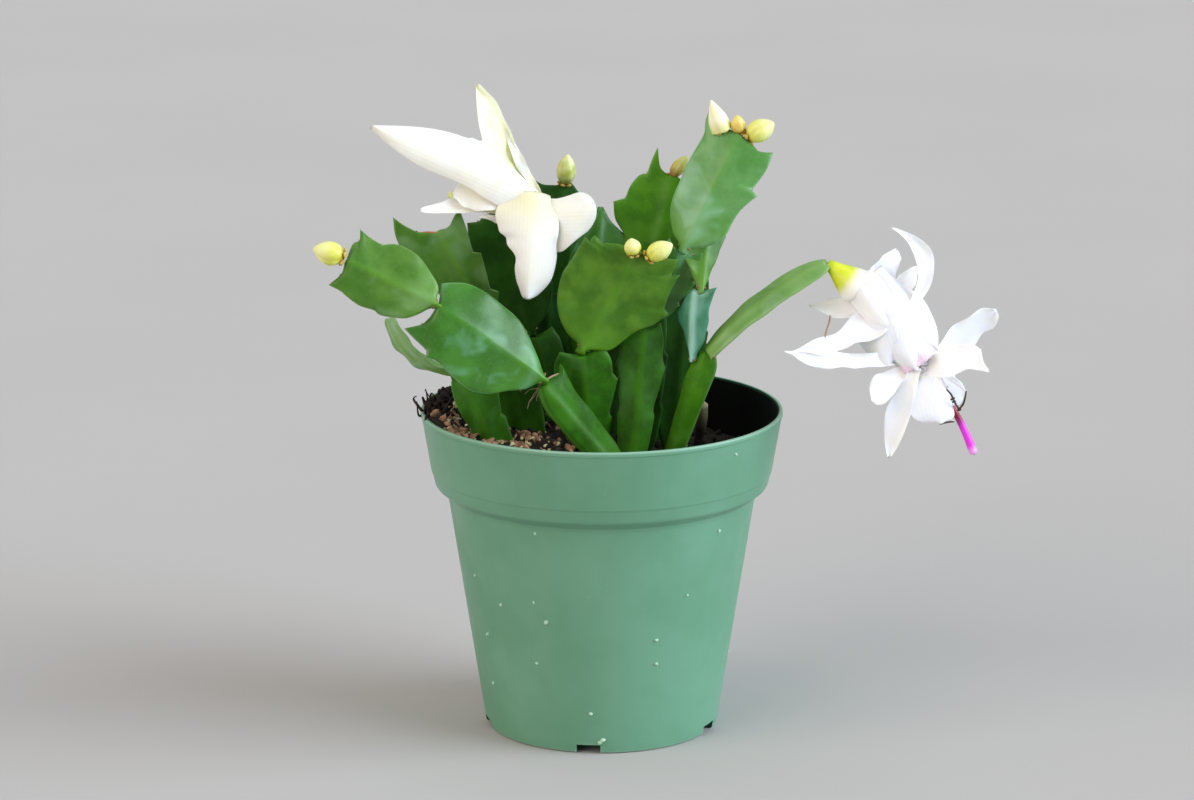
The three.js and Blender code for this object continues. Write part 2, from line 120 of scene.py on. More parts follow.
def linear(code: str) -> tuple[float, float, float, float]:
    """Turns an sRGB hex colour into the linear colour that a shader takes.

    Args:
        code: Six hex digits, such as "6aa287".

    Returns:
        Red, green, blue and an alpha of one.
    """
    parts = [int(code[i : i + 2], 16) / 255 for i in (0, 2, 4)]
    # The sRGB curve is straight near black and a power above that.
    return (*[c / 12.92 if c <= 0.04045 else ((c + 0.055) / 1.055) ** 2.4 for c in parts], 1.0)


def per_metre(size_mm: float) -> float:
    """Gives the texture scale whose features are this many millimetres apart."""
    return 1 / (size_mm * MM)


def add(tree: Tree, kind: str, inputs: dict | None = None, **settings: object) -> bpy.types.Node:
    """Adds one node to a material.

    Args:
        tree: The material's node tree.
        kind: The node's type name.
        inputs: Values or linked sockets by input name or number.
        **settings: Properties of the node itself.

    Returns:
        The new node.
    """
    node = tree.nodes.new(kind)
    for key, value in settings.items():
        setattr(node, key, value)
    for key, value in (inputs or {}).items():
        if isinstance(value, Socket):
            tree.links.new(value, node.inputs[key])
        else:
            node.inputs[key].default_value = value
    return node


@dataclass(frozen=True)
class Patches:
    """Cloudy patches all over a surface: how far apart, how crisp and how much taller than wide they are."""

    apart_mm: float
    detail: float = 2.0
    roughness: float = 0.5
    distortion: float = 0.0
    tall: float = 1.0

    def read(self, tree: Tree, place: Socket) -> Socket:
        """Gives the socket that holds the patches' value.

        Args:
            tree: The material's node tree.
            place: The point on the surface, in the object's own frame.

        Returns:
            A socket with values from 0 to 1.
        """
        if self.tall != 1.0:
            squeezed = {"Vector": place, "Scale": (1.0, 1.0, 1.0 / self.tall)}
            place = add(tree, "ShaderNodeMapping", squeezed, vector_type="POINT").outputs[0]
        cloud = {
            "Vector": place,
            "Scale": per_metre(self.apart_mm),
            "Detail": self.detail,
            "Roughness": self.roughness,
            "Distortion": self.distortion,
        }
        return add(tree, "ShaderNodeTexNoise", cloud).outputs[0]


@dataclass(frozen=True)
class Layer:
    """A colour over a surface, whose cover goes from one share to another as its measure crosses a span."""

    measure: Mark | Patches
    span: Span
    cover: Span
    colour: str

    def lay(self, tree: Tree, place: Socket, below: object) -> Socket:
        """Lays the colour over what is below it.

        Args:
            tree: The material's node tree.
            place: The point on the surface, in the object's own frame.
            below: The colour below, as a socket or a linear colour.

        Returns:
            The colour socket of the two together.
        """
        spread = {
            "Value": self.measure.read(tree, place), "From Min": self.span[0], "From Max": self.span[1],
            "To Min": self.cover[0], "To Max": self.cover[1],
        }
        share = add(tree, "ShaderNodeMapRange", spread, interpolation_type="SMOOTHSTEP").outputs[0]
        mixed = {SHARE_IN: share, BELOW_IN: below, ABOVE_IN: linear(self.colour)}
        return add(tree, "ShaderNodeMix", mixed, data_type="RGBA").outputs[COLOUR_OUT]


@dataclass(frozen=True)
class Finish:
    """A surface that is a body colour clouded by a second one, with a grain and a gloss.

    Sizes are those of the surface as it is drawn: how far apart its clouds and grains lie, how deep the grain
    is and how far light travels below it.
    """

    name: str
    body: str
    cloud: str
    cloud_mm: float
    grain_mm: float
    relief_mm: float
    roughness: float
    spread: float = 0.08
    ior: float = 1.45
    specular: float = 0.5
    coat: float = 0.0
    coat_roughness: float = 0.2
    depth_mm: float = 0.0
    depth_share: float = 0.0
    sheen: float = 0.0

    def layers(self) -> list[Layer]:
        """Gives the colours laid over the clouded body, the lowest first."""
        return []

    def height(self, tree: Tree, place: Socket) -> Socket:
        """Gives the grain's height, from 0 to 1."""
        return Patches(self.grain_mm, detail=3.0, roughness=0.6).read(tree, place)

    def material(self) -> bpy.types.Material:
        """Builds the finish once, and gives the same material each time it is asked for again.

        Returns:
            The finished material.
        """
        if self.name in bpy.data.materials:
            return bpy.data.materials[self.name]
        made = bpy.data.materials.new(self.name)
        made.use_nodes = True
        tree = made.node_tree
        tree.nodes.clear()
        place = add(tree, "ShaderNodeTexCoord").outputs["Object"]
        clouds = Patches(self.cloud_mm, detail=4.0, roughness=0.55)
        colour = linear(self.body)
        for layer in (Layer(clouds, CLOUD_SPAN, (0.0, 1.0), self.cloud), *self.layers()):
            colour = layer.lay(tree, place, colour)
        shine = {
            "Value": clouds.read(tree, place), "From Min": GLOSS_SPAN[0], "From Max": GLOSS_SPAN[1],
            "To Min": self.roughness + self.spread, "To Max": self.roughness - self.spread,
        }
        grain = {"Height": self.height(tree, place), "Distance": self.relief_mm * MM, "Strength": 1.0}
        surface = {
            "Base Color": colour,
            "Roughness": add(tree, "ShaderNodeMapRange", shine, interpolation_type="SMOOTHSTEP").outputs[0],
            "Normal": add(tree, "ShaderNodeBump", grain).outputs[0],
            "IOR": self.ior,
            "Specular IOR Level": self.specular,
            "Coat Weight": self.coat,
            "Coat Roughness": self.coat_roughness,
            "Sheen Weight": self.sheen,
            "Subsurface Weight": self.depth_share,
            "Subsurface Radius": FLESH_REACH,
            "Subsurface Scale": max(self.depth_mm, 0.01) * MM,
        }
        shader = add(tree, "ShaderNodeBsdfPrincipled", surface)
        add(tree, "ShaderNodeOutputMaterial", {"Surface": shader.outputs[0]})
        return made


@dataclass(frozen=True, kw_only=True)
class WaxySkin(Finish):
    """Cactus cuticle: green flesh under thin wax, yellower where young, paler along its margin, with a pale
    rib and pale patches that are partly painted highlight and sheen.
    """

    young: str
    rim: str
    # The pale patches are partly the wax's own bloom and partly painted sheen, standing in for reflections of
    # the lights.
    bloom_and_sheen: str
    bloom_and_sheen_share: float
    depth_mm: float = 1.2
    depth_share: float = 0.1
    bloom_and_sheen_mm: float = 11.0
    fleck_mm: float = 0.8
    young_share: float = 0.5
    rib_share: float = 0.3

    def layers(self) -> list[Layer]:
        """Lists the colours that lie over the green.

        Returns:
            The young base, the pale rib and its painted highlight, the pale patches of wax and painted sheen,
            the fine flecks and the pale margin.
        """
        return [
            Layer(Mark.ALONG, (0.02, 0.4), (self.young_share, 0.0), self.young),
            # The paler rib is partly its own lighter flesh and partly a painted highlight along it.
            Layer(Mark.FROM_RIB, (0.2, 1.8), (self.rib_share, 0.0), self.young),
            # The pale patches are partly wax and partly a painted sheen of the lights' reflections.
            Layer(Patches(self.bloom_and_sheen_mm, distortion=0.6), (0.5, 0.72), (0.0, self.bloom_and_sheen_share), self.bloom_and_sheen),
            Layer(Patches(self.fleck_mm, detail=1.0), (0.6, 0.72), (0.0, 0.12), self.rim),
            Layer(Mark.FROM_EDGE, (0.08, 0.5), (0.4, 0.0), self.rim),
        ]


@dataclass(frozen=True, kw_only=True)
class PetalTissue(Finish):
    """Petal tissue: pale, thin and matt, warmer at the throat, with fine veins that catch the light."""

    throat: str
    throat_end: float
    blush: str
    depth_mm: float = 2.4
    depth_share: float = 0.4
    blush_mm: float = 16.0
    vein_mm: float = 1.1

    def layers(self) -> list[Layer]:
        """Lists the colours that lie over the pale body.

        Returns:
            The faint blush and the warm throat.
        """
        return [
            Layer(Patches(self.blush_mm, detail=1.0), (0.52, 0.7), (0.0, 0.45), self.blush),
            Layer(Mark.ALONG, (0.0, self.throat_end), (0.8, 0.0), self.throat),
        ]

    def height(self, tree: Tree, place: Socket) -> Socket:
        """Gives veins that run beside the midrib, roughened by the grain.

        Args:
            tree: The material's node tree.
            place: The point on the surface, in the object's own frame.

        Returns:
            The height's socket.
        """
        turns = {0: Mark.FROM_RIB.read(tree, place), 1: 2 * math.pi / self.vein_mm}
        phase = add(tree, "ShaderNodeMath", turns, operation="MULTIPLY").outputs[0]
        veins = add(tree, "ShaderNodeMath", {0: phase}, operation="SINE").outputs[0]
        rough = {0: veins, 1: 0.25, 2: super().height(tree, place)}
        return add(tree, "ShaderNodeMath", rough, operation="MULTIPLY_ADD").outputs[0]


@dataclass(frozen=True, kw_only=True)
class BlushedTube(PetalTissue):
    """The tissue of a flower's tube, which is blushed pink along its mouth."""

    mouth: str = "f6cfe4"

    def layers(self) -> list[Layer]:
        """Adds the pink of the mouth to the petal's own layers."""
        return [*super().layers(), Layer(Mark.ALONG, (0.86, 0.97), (0.0, 0.9), self.mouth)]


@dataclass(frozen=True, kw_only=True)
class BudSkin(Finish):
    """Bud skin: plump overlapping scales, darker at the seat and paler towards the point."""

    seat: str
    point: str
    depth_mm: float = 2.0
    seat_end: float = 0.25
    point_share: float = 0.6
    pale: Span = (0.5, 1.0)

    def layers(self) -> list[Layer]:
        """Lists the colours that lie over the scales.

        Returns:
            The dark seat, the pale point and the shade in the seams between the scales.
        """
        return [
            Layer(Mark.ALONG, (0.02, self.seat_end), (0.7, 0.0), self.seat),
            Layer(Mark.ALONG, self.pale, (0.0, self.point_share), self.point),
            Layer(Mark.FROM_EDGE, (0.0, 0.2), (0.3, 0.0), self.seat),
        ]


@dataclass(frozen=True)
class MouldedPolypropylene(Finish):
    """Injection-moulded polypropylene: an even, slightly waxy colour with flow streaks, scuffs and dust."""

    ior: float = 1.49
    scuff: str = "a9cbb6"
    dust: str = "c3d3c4"
    streak_mm: float = 5.0
    dust_mm: float = 2.2

    def layers(self) -> list[Layer]:
        """Lists what marks the plastic.

        Returns:
            The flow streaks down the wall, the scuffed edges and the dust that settled on it.
        """
        return [
            Layer(Patches(self.streak_mm, detail=3.0, tall=8.0), (0.45, 0.75), (0.0, 0.22), self.cloud),
            Layer(Mark.FROM_EDGE, (0.1, 0.9), (0.5, 0.0), self.scuff),
            Layer(Patches(self.dust_mm, detail=5.0, roughness=0.75), (0.69, 0.78), (0.0, 0.55), self.dust),
        ]


@dataclass(frozen=True, kw_only=True)
class TwoToned(Finish):
    """A stalk whose far stretch has another colour than its near one, and whose very end has a third."""

    bright: str
    end: str
    turn: Span

    def layers(self) -> list[Layer]:
        """Lists the two later colours.

        Returns:
            That of the far stretch and that of the very end.
        """
        return [
            Layer(Mark.ALONG, self.turn, (0.0, 1.0), self.bright),
            Layer(Mark.ALONG, (0.9, 0.98), (0.0, 0.8), self.end),
        ]


# Cactus cuticle is a smooth wax over wet flesh: soft reflections, and light that sinks in about a millimetre.
# Its pores are some 0.1 mm apart, too fine to show, so its grain is drawn about 0.5 mm apart.
SKINS = {
    Skin.GREEN: WaxySkin(
        "waxy_cuticle_mid_green", "3e6f1a", "588432", 9, 0.55, 0.05, 0.42, specular=0.3, coat=0.1,
        coat_roughness=0.25, young="649a24", rim="779c50", bloom_and_sheen="90b688", bloom_and_sheen_share=0.3,
    ),
    # The blue-green segments carry the strongest pale patches: partly wax and partly painted sheen, the
    # reflections of the lights.
    Skin.BLUE: WaxySkin(
        "waxy_cuticle_blue_bloom_and_sheen", "306612", "427c28", 10, 0.55, 0.05, 0.36, specular=0.35, coat=0.25,
        coat_roughness=0.22, young="4f9022", rim="6b9c64", bloom_and_sheen="7cb496", bloom_and_sheen_share=0.42,
    ),
    Skin.DARK: WaxySkin(
        "waxy_cuticle_deep_green", "3c6a12", "588522", 8, 0.55, 0.05, 0.45, specular=0.25, coat=0.06,
        coat_roughness=0.28, young="558c18", rim="4c7a34", bloom_and_sheen="4f7f42", bloom_and_sheen_share=0.2,
    ),
    Skin.OLD: WaxySkin(
        "waxy_cuticle_old_stem", "265408", "346e10", 7, 0.5, 0.06, 0.48, specular=0.15, coat=0.04,
        coat_roughness=0.28, depth_mm=1.0, depth_share=0.08, young="4a8216", rim="5a8a38", bloom_and_sheen="5c8e54",
        bloom_and_sheen_share=0.15,
    ),
}
# Painted light: where a stem or a segment stands in the light it is given a brighter, more saturated green
# that stands in for the light on it.
LIT_GREEN = WaxySkin(
    "waxy_cuticle_painted_light", "36700c", "4a8614", 7, 0.5, 0.06, 0.46, specular=0.15, coat=0.05,
    coat_roughness=0.28, depth_mm=1.0, young="4c8c16", rim="74a054", bloom_and_sheen="68985a", bloom_and_sheen_share=0.12,
)
# Painted sheen: one young segment is given a pale silvery blue skin and a strongly pale rib, which stand in
# for light reflected off its wax.
PAINTED_SHEEN = WaxySkin(
    "waxy_cuticle_painted_sheen", "3f8462", "5c9e7e", 12, 0.55, 0.05, 0.36, specular=0.4, coat=0.25,
    coat_roughness=0.22, young="a8dccc", rim="5a9a80", bloom_and_sheen="92c8b8", bloom_and_sheen_share=0.4, young_share=0.0,
    rib_share=0.85,
)
# Painted light: a segment that faces the light is given a paler, greyer skin all over, which stands in for
# the light it catches.
LIT_PALE = WaxySkin(
    "waxy_cuticle_painted_pale_light", "4f8a3c", "68a05a", 12, 0.55, 0.05, 0.4, specular=0.35, coat=0.2,
    coat_roughness=0.24, young="69a03a", rim="86b27e", bloom_and_sheen="9ccab0", bloom_and_sheen_share=0.4,
)
# Painted light: a thin segment that stands against the light is given a paler, yellower skin, which stands in
# for the light that comes through it.
BACKLIT = WaxySkin(
    "waxy_cuticle_painted_backlight", "5f943f", "7aa85e", 12, 0.55, 0.05, 0.4, specular=0.35, coat=0.15,
    coat_roughness=0.24, depth_mm=1.6, depth_share=0.25, young="7aa844", rim="92b07a", bloom_and_sheen="a8c8a4",
    bloom_and_sheen_share=0.35,
)
# Painted shade: segments deep in the plant are given a blackish green that stands in for the shade they sit
# in.
SHADED = WaxySkin(
    "waxy_cuticle_shaded", "1f470f", "2b5a16", 8, 0.55, 0.05, 0.5, specular=0.15, coat=0.03,
    coat_roughness=0.3, young="2e5f14", rim="3a6630", bloom_and_sheen="3a6640", bloom_and_sheen_share=0.25,
)

TISSUES = {
    # Petal tissue is nearly white and lets light through, so shade in a fold stays soft. Its cells are some
    # 0.05 mm across, too fine to show, so its grain is drawn 0.5 mm apart.
    Tissue.CREAM: PetalTissue(
        "petal_tissue_cream", "fdfbf0", "faf6e6", 7, 0.5, 0.035, 0.55, throat="f3e9b8", throat_end=0.42,
        blush="f7f2de",
    ),
    Tissue.WHITE: PetalTissue(
        "petal_tissue_white", "ffffff", "fdfdfe", 7, 0.5, 0.035, 0.5, throat="fffdf4", throat_end=0.2,
        blush="f7f7fb",
    ),
    # Bud skin is thicker and plumper than a petal, with a wax of its own.
    # The yellow buds' pale point reaches far down their middle: partly their own paler tip and partly a
    # painted highlight.
    Tissue.YELLOW: BudSkin(
        "bud_skin_yellow", "d6d848", "e4e676", 3, 0.4, 0.04, 0.38, coat=0.25, depth_share=0.3, seat="b89a2c",
        seat_end=0.2, point="f0f2b6", point_share=0.75, pale=(0.25, 0.9),
    ),
    Tissue.ORANGE: BudSkin(
        "bud_skin_orange", "d8b44e", "e4cf70", 2.5, 0.4, 0.04, 0.42, coat=0.2, depth_share=0.3, seat="b5602a",
        point="efe08c",
    ),
}
# The youngest buds are still green and glossy, and one that opens behind the plant is rusty and dull.
GREEN_BUD = BudSkin(
    "bud_skin_green", "bcc458", "dce294", 3, 0.4, 0.04, 0.34, coat=0.4, depth_share=0.3, seat="55701e",
    seat_end=0.36, point="f0f2c0", point_share=0.5,
)
RUSTY_BUD = BudSkin(
    "bud_skin_rusty", "b2ac50", "c4c066", 2.5, 0.4, 0.04, 0.45, coat=0.1, depth_share=0.2, seat="8a4420",
    seat_end=0.6, point="c4d088", point_share=0.8,
)
# A bud that is about to open already has the cream of its petals.
PALE_BUD = BudSkin(
    "bud_skin_cream", "f7f5ca", "fbf9dc", 3, 0.4, 0.04, 0.42, coat=0.1, depth_share=0.35, seat="d8d86a",
    seat_end=0.5, point="f9f7cc",
)
# A bract is a thin dry scale at a bud's foot, and a bud that is only breaking is all such scales.
BRACT = BudSkin(
    "bract_dry_tan", "bd9a38", "ccb050", 1.5, 0.3, 0.04, 0.5, depth_mm=1, depth_share=0.15, seat="8f6428",
    point="d8c878",
)
BREAKING_BUD = BudSkin(
    "bract_rusty", "a4502c", "b8683c", 1.5, 0.3, 0.05, 0.55, depth_mm=1, depth_share=0.1, seat="7c3a20",
    point="c0784a",
)
# The blades that stand up are tinged with primrose, and those that hang are a plainer cream.
PRIMROSE = PetalTissue(
    "petal_tissue_primrose", "fcfcd6", "eff4b4", 9, 0.5, 0.035, 0.55, throat="f4efc4", throat_end=0.3,
    blush="fbfbea",
)
CREAM_BLADE = PetalTissue(
    "petal_tissue_cream_blade", "faf8ea", "f7f3e0", 7, 0.5, 0.035, 0.55, throat="f6efcc", throat_end=0.16,
    blush="f9f4e6",
)
# The tube of the white flower is tinged with pink where the stamens leave it.
BLUSHED_MOUTH = BlushedTube(
    "petal_tissue_blushed_mouth", "ffffff", "fdfdfe", 7, 0.5, 0.035, 0.5, throat="fffbe9", throat_end=0.15,
    blush="f7f7fb",
)
# The ovary is a fleshy lime-yellow cone that fades to cream where the petals leave it.
OVARY_SKIN = BudSkin(
    "ovary_skin_lime", "cfdf10", "dde63a", 4, 0.5, 0.04, 0.4, coat=0.15, depth_share=0.3, seat="9cba1a",
    point="fefcf0", point_share=1.0, pale=(0.62, 1.0),
)
# Moulded polypropylene has a soft, slightly waxy gloss. Its inside is the same green plastic, painted near
# black as painted shade, with only a thin line of its green along the lip. The mould's texture is some 0.1
# mm, too fine to show, so its grain is drawn 0.7 to 1.4 mm apart.
POT_OUTSIDE = MouldedPolypropylene(
    "moulded_polypropylene_sage", "619576", "6a9d80", 30, 0.7, 0.02, 0.42, spread=0.05,
)
POT_INSIDE = MouldedPolypropylene(
    "moulded_polypropylene_painted_shade", "060d08", "030604", 9, 1.4, 0.12, 0.75, spread=0.1, specular=0.12,
    scuff="3f7558", dust="15170e",
)
# Peat is dark, fibrous and quite matt.
PEAT = Finish("peat_mix_dark", "18130d", "2c2417", 2.4, 0.6, 0.5, 0.9, spread=0.05)
# Perlite is expanded volcanic glass: chalky, pitted grains, which wet peat has stained a little yellow.
PERLITE = Finish(
    "expanded_perlite", "ece4bc", "d8c88c", 1.2, 0.35, 0.15, 0.75, depth_mm=0.6, depth_share=0.15,
)
# Grit that dried on the wall is a chalky smear, tinted by the pot below it.
GRIT = Finish("dried_mineral_grit", "c2dcc6", "a3ccb0", 1.0, 0.3, 0.1, 0.8)
# Composted pine bark is tan to red-brown and flaky.
BARK = Finish("composted_pine_bark", "74543c", "c09a78", 1.6, 0.4, 0.25, 0.8)
# A dead segment dries to a wrinkled stub, near black along its lower part and straw-coloured at its top.
STUB = TwoToned(
    "dead_segment_straw", "120f0a", "211c12", 2, 0.5, 0.25, 0.85, bright="66603c", end="a09a78",
    turn=(0.45, 0.9),
)
# Roots and hairs are near black where they are wet and rusty where they are dry.
ROOT = Finish("dried_root_fibre", "2a1b12", "5d4330", 3, 0.3, 0.1, 0.85)
DARK_ROOT = Finish("wet_root_fibre", "0d0a07", "2a1e13", 2, 0.3, 0.15, 0.9, spread=0.05)
# Skin and roots that dried in the air are a dull pinkish tan.
DRY_SKIN = Finish("dried_skin_tan", "9c8468", "b0987c", 2, 0.3, 0.06, 0.8)
# Areole wool is a tuft of tan felt in each notch. Its hairs are some 0.02 mm thick, too fine to show, so the
# felt is drawn as a grain of 0.2 mm under a sheen.
WOOL = Finish("areole_wool", "86683a", "a88e58", 0.6, 0.2, 0.1, 0.9, sheen=0.4)
# A joint's cork is a thin, dry, tan ring.
CORK = Finish("joint_cork", "7a6a3a", "8f7c4c", 1.0, 0.3, 0.08, 0.8)
# The style is glossy and fleshy, and the filaments beside it are translucent threads with dusty anthers.
# The style's pale pink end is a painted highlight, the light it catches.
STYLE = TwoToned(
    "fleshy_style", "8a1c34", "a8244c", 2, 0.4, 0.03, 0.4, coat=0.2, bright="f63cee", end="fab0f6",
    turn=(0.58, 0.74),
)
FILAMENT = Finish("stamen_filament", "f3ecee", "e3cfd6", 2, 0.3, 0.02, 0.45, depth_mm=0.6, depth_share=0.3)
ANTHER = Finish("anther_pollen", "2b211c", "5d4a34", 0.5, 0.2, 0.08, 0.85)
# The floor is seamless card, so matt that it shows no gloss even where it is seen almost edge on. Its fibres
# are too fine to show, so its grain is drawn 2 mm apart.
FLOOR = Finish("matt_card_pale_grey", "bcb9b6", "bebbb8", 300, 2, 0.01, 0.9, specular=0)


def unit(vector: Sequence[float]) -> Array:
    """Gives a vector of length one in the same direction."""
    found = np.asarray(vector, float)
    return found / np.linalg.norm(found, axis=-1, keepdims=True)


def smooth_run(points: Array, steps: int = 10) -> Array:
    """Draws a smooth curve through points.

    Args:
        points: The points, one a row, in two or three dimensions.
        steps: How many steps each span takes.

    Returns:
        The curve's points, from the first given point to the last.
    """
    if len(points) < 3:
        return points
    slopes = np.gradient(points, axis=0)
    made = []
    for i in range(len(points) - 1):
        t = np.arange(steps)[:, None] / steps
        a, b, p, q = points[i], points[i + 1], slopes[i], slopes[i + 1]
        made.append((2 * t**3 - 3 * t**2 + 1) * a + (t**3 - 2 * t**2 + t) * p
                    + (3 * t**2 - 2 * t**3) * b + (t**3 - t**2) * q)
    return np.vstack([*made, points[-1:]])


def spaced(curve: Array, count: int) -> Array:
    """Walks a curve in equal steps.

    Args:
        curve: The curve's points, one a row.
        count: How many steps to take.

    Returns:
        The count + 1 points that the steps end on.
    """
    reach = np.concatenate([[0], np.cumsum(np.linalg.norm(np.diff(curve, axis=0), axis=1))])
    stops = np.linspace(0, reach[-1], count + 1)
    return np.stack([np.interp(stops, reach, column) for column in curve.T], axis=1)


def trace(outline: Outline, length: float, rows: int) -> Array:
    """Follows one side of a blade from its neck to its apex, keeping each tip and notch sharp.

    Args:
        outline: Points of share along, and millimetres out, with TIP or NOTCH after them at a corner.
        length: The blade's length.
        rows: How many points to give.

    Returns:
        That many points of share along and millimetres out.
    """
    points = np.array([point[:2] for point in outline]) * [length, 1]
    last = len(outline) - 1
    stops = [0, *[i for i, point in enumerate(outline) if len(point) > 2 and 0 < i < last], last]
    runs = [smooth_run(points[a : b + 1]) for a, b in zip(stops, stops[1:])]
    reach = np.array([np.linalg.norm(np.diff(run, axis=0), axis=1).sum() for run in runs])
    counts = np.maximum(2, np.floor(reach / reach.sum() * (rows - 1))).astype(int)
    counts[np.argmax(reach)] += rows - 1 - counts.sum()
    parts = [spaced(run, count) for run, count in zip(runs, counts)]
    joined = np.vstack([parts[0], *[part[1:] for part in parts[1:]]])
    return joined / [length, 1]


def ripple(a: Array, b: Array, seed: int) -> Array:
    """Gives gentle unevenness over a surface, the same each time for a seed.

    Args:
        a: How far along the surface each point is.
        b: How far across it each point is.
        seed: The seed of the unevenness.

    Returns:
        A value between -1 and 1 for each point.
    """
    made = np.zeros(np.broadcast(a, b).shape)
    rng = np.random.default_rng(seed)
    for octave in range(4):
        turn, phase = rng.uniform(0, 2 * math.pi, 2)
        made = made + np.sin((a * math.cos(turn) + b * math.sin(turn)) * (1 + 0.7 * octave) + phase) / 4
    return made


def seed_of(name: str) -> int:
    """Gives a seed that belongs to a name."""
    return sum((i + 1) * ord(letter) for i, letter in enumerate(name))


def crossways(along: Array, guide: Vec) -> tuple[Array, Array]:
    """Gives two directions square to a given one and to each other, the first square to a guide too."""
    first = unit(np.cross(along, guide))
    return first, np.cross(along, first)


def hoops(count: int, sides: int) -> list[tuple[int, ...]]:
    """Skins a stack of rings, whose points are numbered in order and followed by the start's and the end's.

    Args:
        count: How many rings there are.
        sides: How many points are in a ring.

    Returns:
        The closed skin's faces, as numbers of points.
    """
    last, start = (count - 1) * sides, count * sides
    around = [(j, (j + 1) % sides) for j in range(sides)]
    faces = [(i + j, i + k, i + sides + k, i + sides + j) for i in range(0, last, sides) for j, k in around]
    for j, k in around:
        faces += [(start, k, j), (start + 1, last + j, last + k)]
    return faces


@dataclass
class Shape:
    """A closed mesh in millimetres, with its marks at each point and a finish number for each face."""

    points: Array
    faces: list[tuple[int, ...]]
    marks: dict[Mark, Array] = field(default_factory=dict)
    coats: list[int] | None = None

    @staticmethod
    def joined(shapes: Iterable["Shape"]) -> "Shape":
        """Puts several shapes into one mesh, each still closed on its own.

        Args:
            shapes: The shapes.

        Returns:
            One shape with all their points, faces and marks.
        """
        points, faces, marks, start = [], [], {mark: [] for mark in Mark}, 0
        for shape in shapes:
            points.append(shape.points)
            faces += [tuple(i + start for i in face) for face in shape.faces]
            for mark in Mark:
                marks[mark].append(shape.marks.get(mark, np.full(len(shape.points), FAR)))
            start += len(shape.points)
        return Shape(np.vstack(points), faces, {mark: np.concatenate(found) for mark, found in marks.items()})

    def mesh(self, name: str, finishes: Sequence[Finish]) -> bpy.types.Mesh:
        """Makes the Blender mesh, in metres, smooth and dressed.

        Args:
            name: The mesh's name.
            finishes: Its finishes, by the numbers of the face coats.

        Returns:
            The new mesh.
        """
        made = bpy.data.meshes.new(name)
        made.from_pydata(self.points * MM, [], self.faces)
        for mark in Mark:
            values = self.marks.get(mark, np.full(len(self.points), FAR)).astype(np.float32)
            made.attributes.new(mark.value, "FLOAT", "POINT").data.foreach_set("value", values)
        for finish in finishes:
            made.materials.append(finish.material())
        if self.coats:
            made.polygons.foreach_set("material_index", self.coats)
        made.polygons.foreach_set("use_smooth", [True] * len(self.faces))
        made.update()
        return made

    def piece(
        self, name: str, finishes: Finish | Sequence[Finish], slot: str, replaces: Sequence[str] = ()
    ) -> bpy.types.Object:
        """Places the shape as one piece, in one finish or in one for each of its face coats."""
        finishes = [finishes] if isinstance(finishes, Finish) else list(finishes)
        return place(bpy.data.objects.new(name, self.mesh(name, finishes)), slot, replaces)


def place(made: bpy.types.Object, slot: str, replaces: Sequence[str] = ()) -> bpy.types.Object:
    """Links an object, seats it on the pot's body, hides the frame's nodes that it stands for and logs its
    slot.

    Args:
        made: The finished object.
        slot: The record's material slot.
        replaces: The frame's nodes that it stands for.

    Returns:
        The same object.
    """
    bpy.context.scene.collection.objects.link(made)
    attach(made, BODY)
    if replaces:
        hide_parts(*replaces)
    LOG.info("%s: %d faces, slot %s", made.name, len(made.data.polygons), slot)
    return made


@dataclass(frozen=True)
class Flesh:
    """A blade's thickness: at its margin, in its middle and over its rib, and how round its margin is."""

    margin: float
    body: float
    rib: float
    rib_width: float
    rounding: float


PAD_FLESH = Flesh(margin=1.0, body=2.4, rib=1.0, rib_width=1.5, rounding=0.9)
STEM_FLESH = Flesh(margin=1.6, body=3.4, rib=2.2, rib_width=3.2, rounding=1.0)
PETAL_FLESH = Flesh(margin=0.3, body=0.75, rib=0.12, rib_width=1.6, rounding=0.35)

# Where a side's columns of points lie: as shares of the flat from the rib, then of the rounded margin.
FLAT_COLUMNS = (0.07, 0.15, 0.25, 0.38, 0.52, 0.66, 0.8, 0.91, 1.0)
ROUND_COLUMNS = (0.7, 0.42, 0.2, 0.06, 0.0)
# How much narrower a blade's buried heel is than its neck.
HEEL_TAPER = 0.9
# How far a blade's rows follow where its sides' own points lie; for the rest they are evenly spaced.
ROW_FOLLOW = 0.6
# The greatest share of a side's half width that its rounded margin takes.
MARGIN_SHARE = 0.45
# How long the gentle lumps on a blade are, and how far below its apex the rib fades, in millimetres.
LUMP_LENGTH, RIB_FADE = 5.0, 6.0
# How near a notch's wool is to the outline, as a share of the half width.
WOOL_SHARE = 0.97


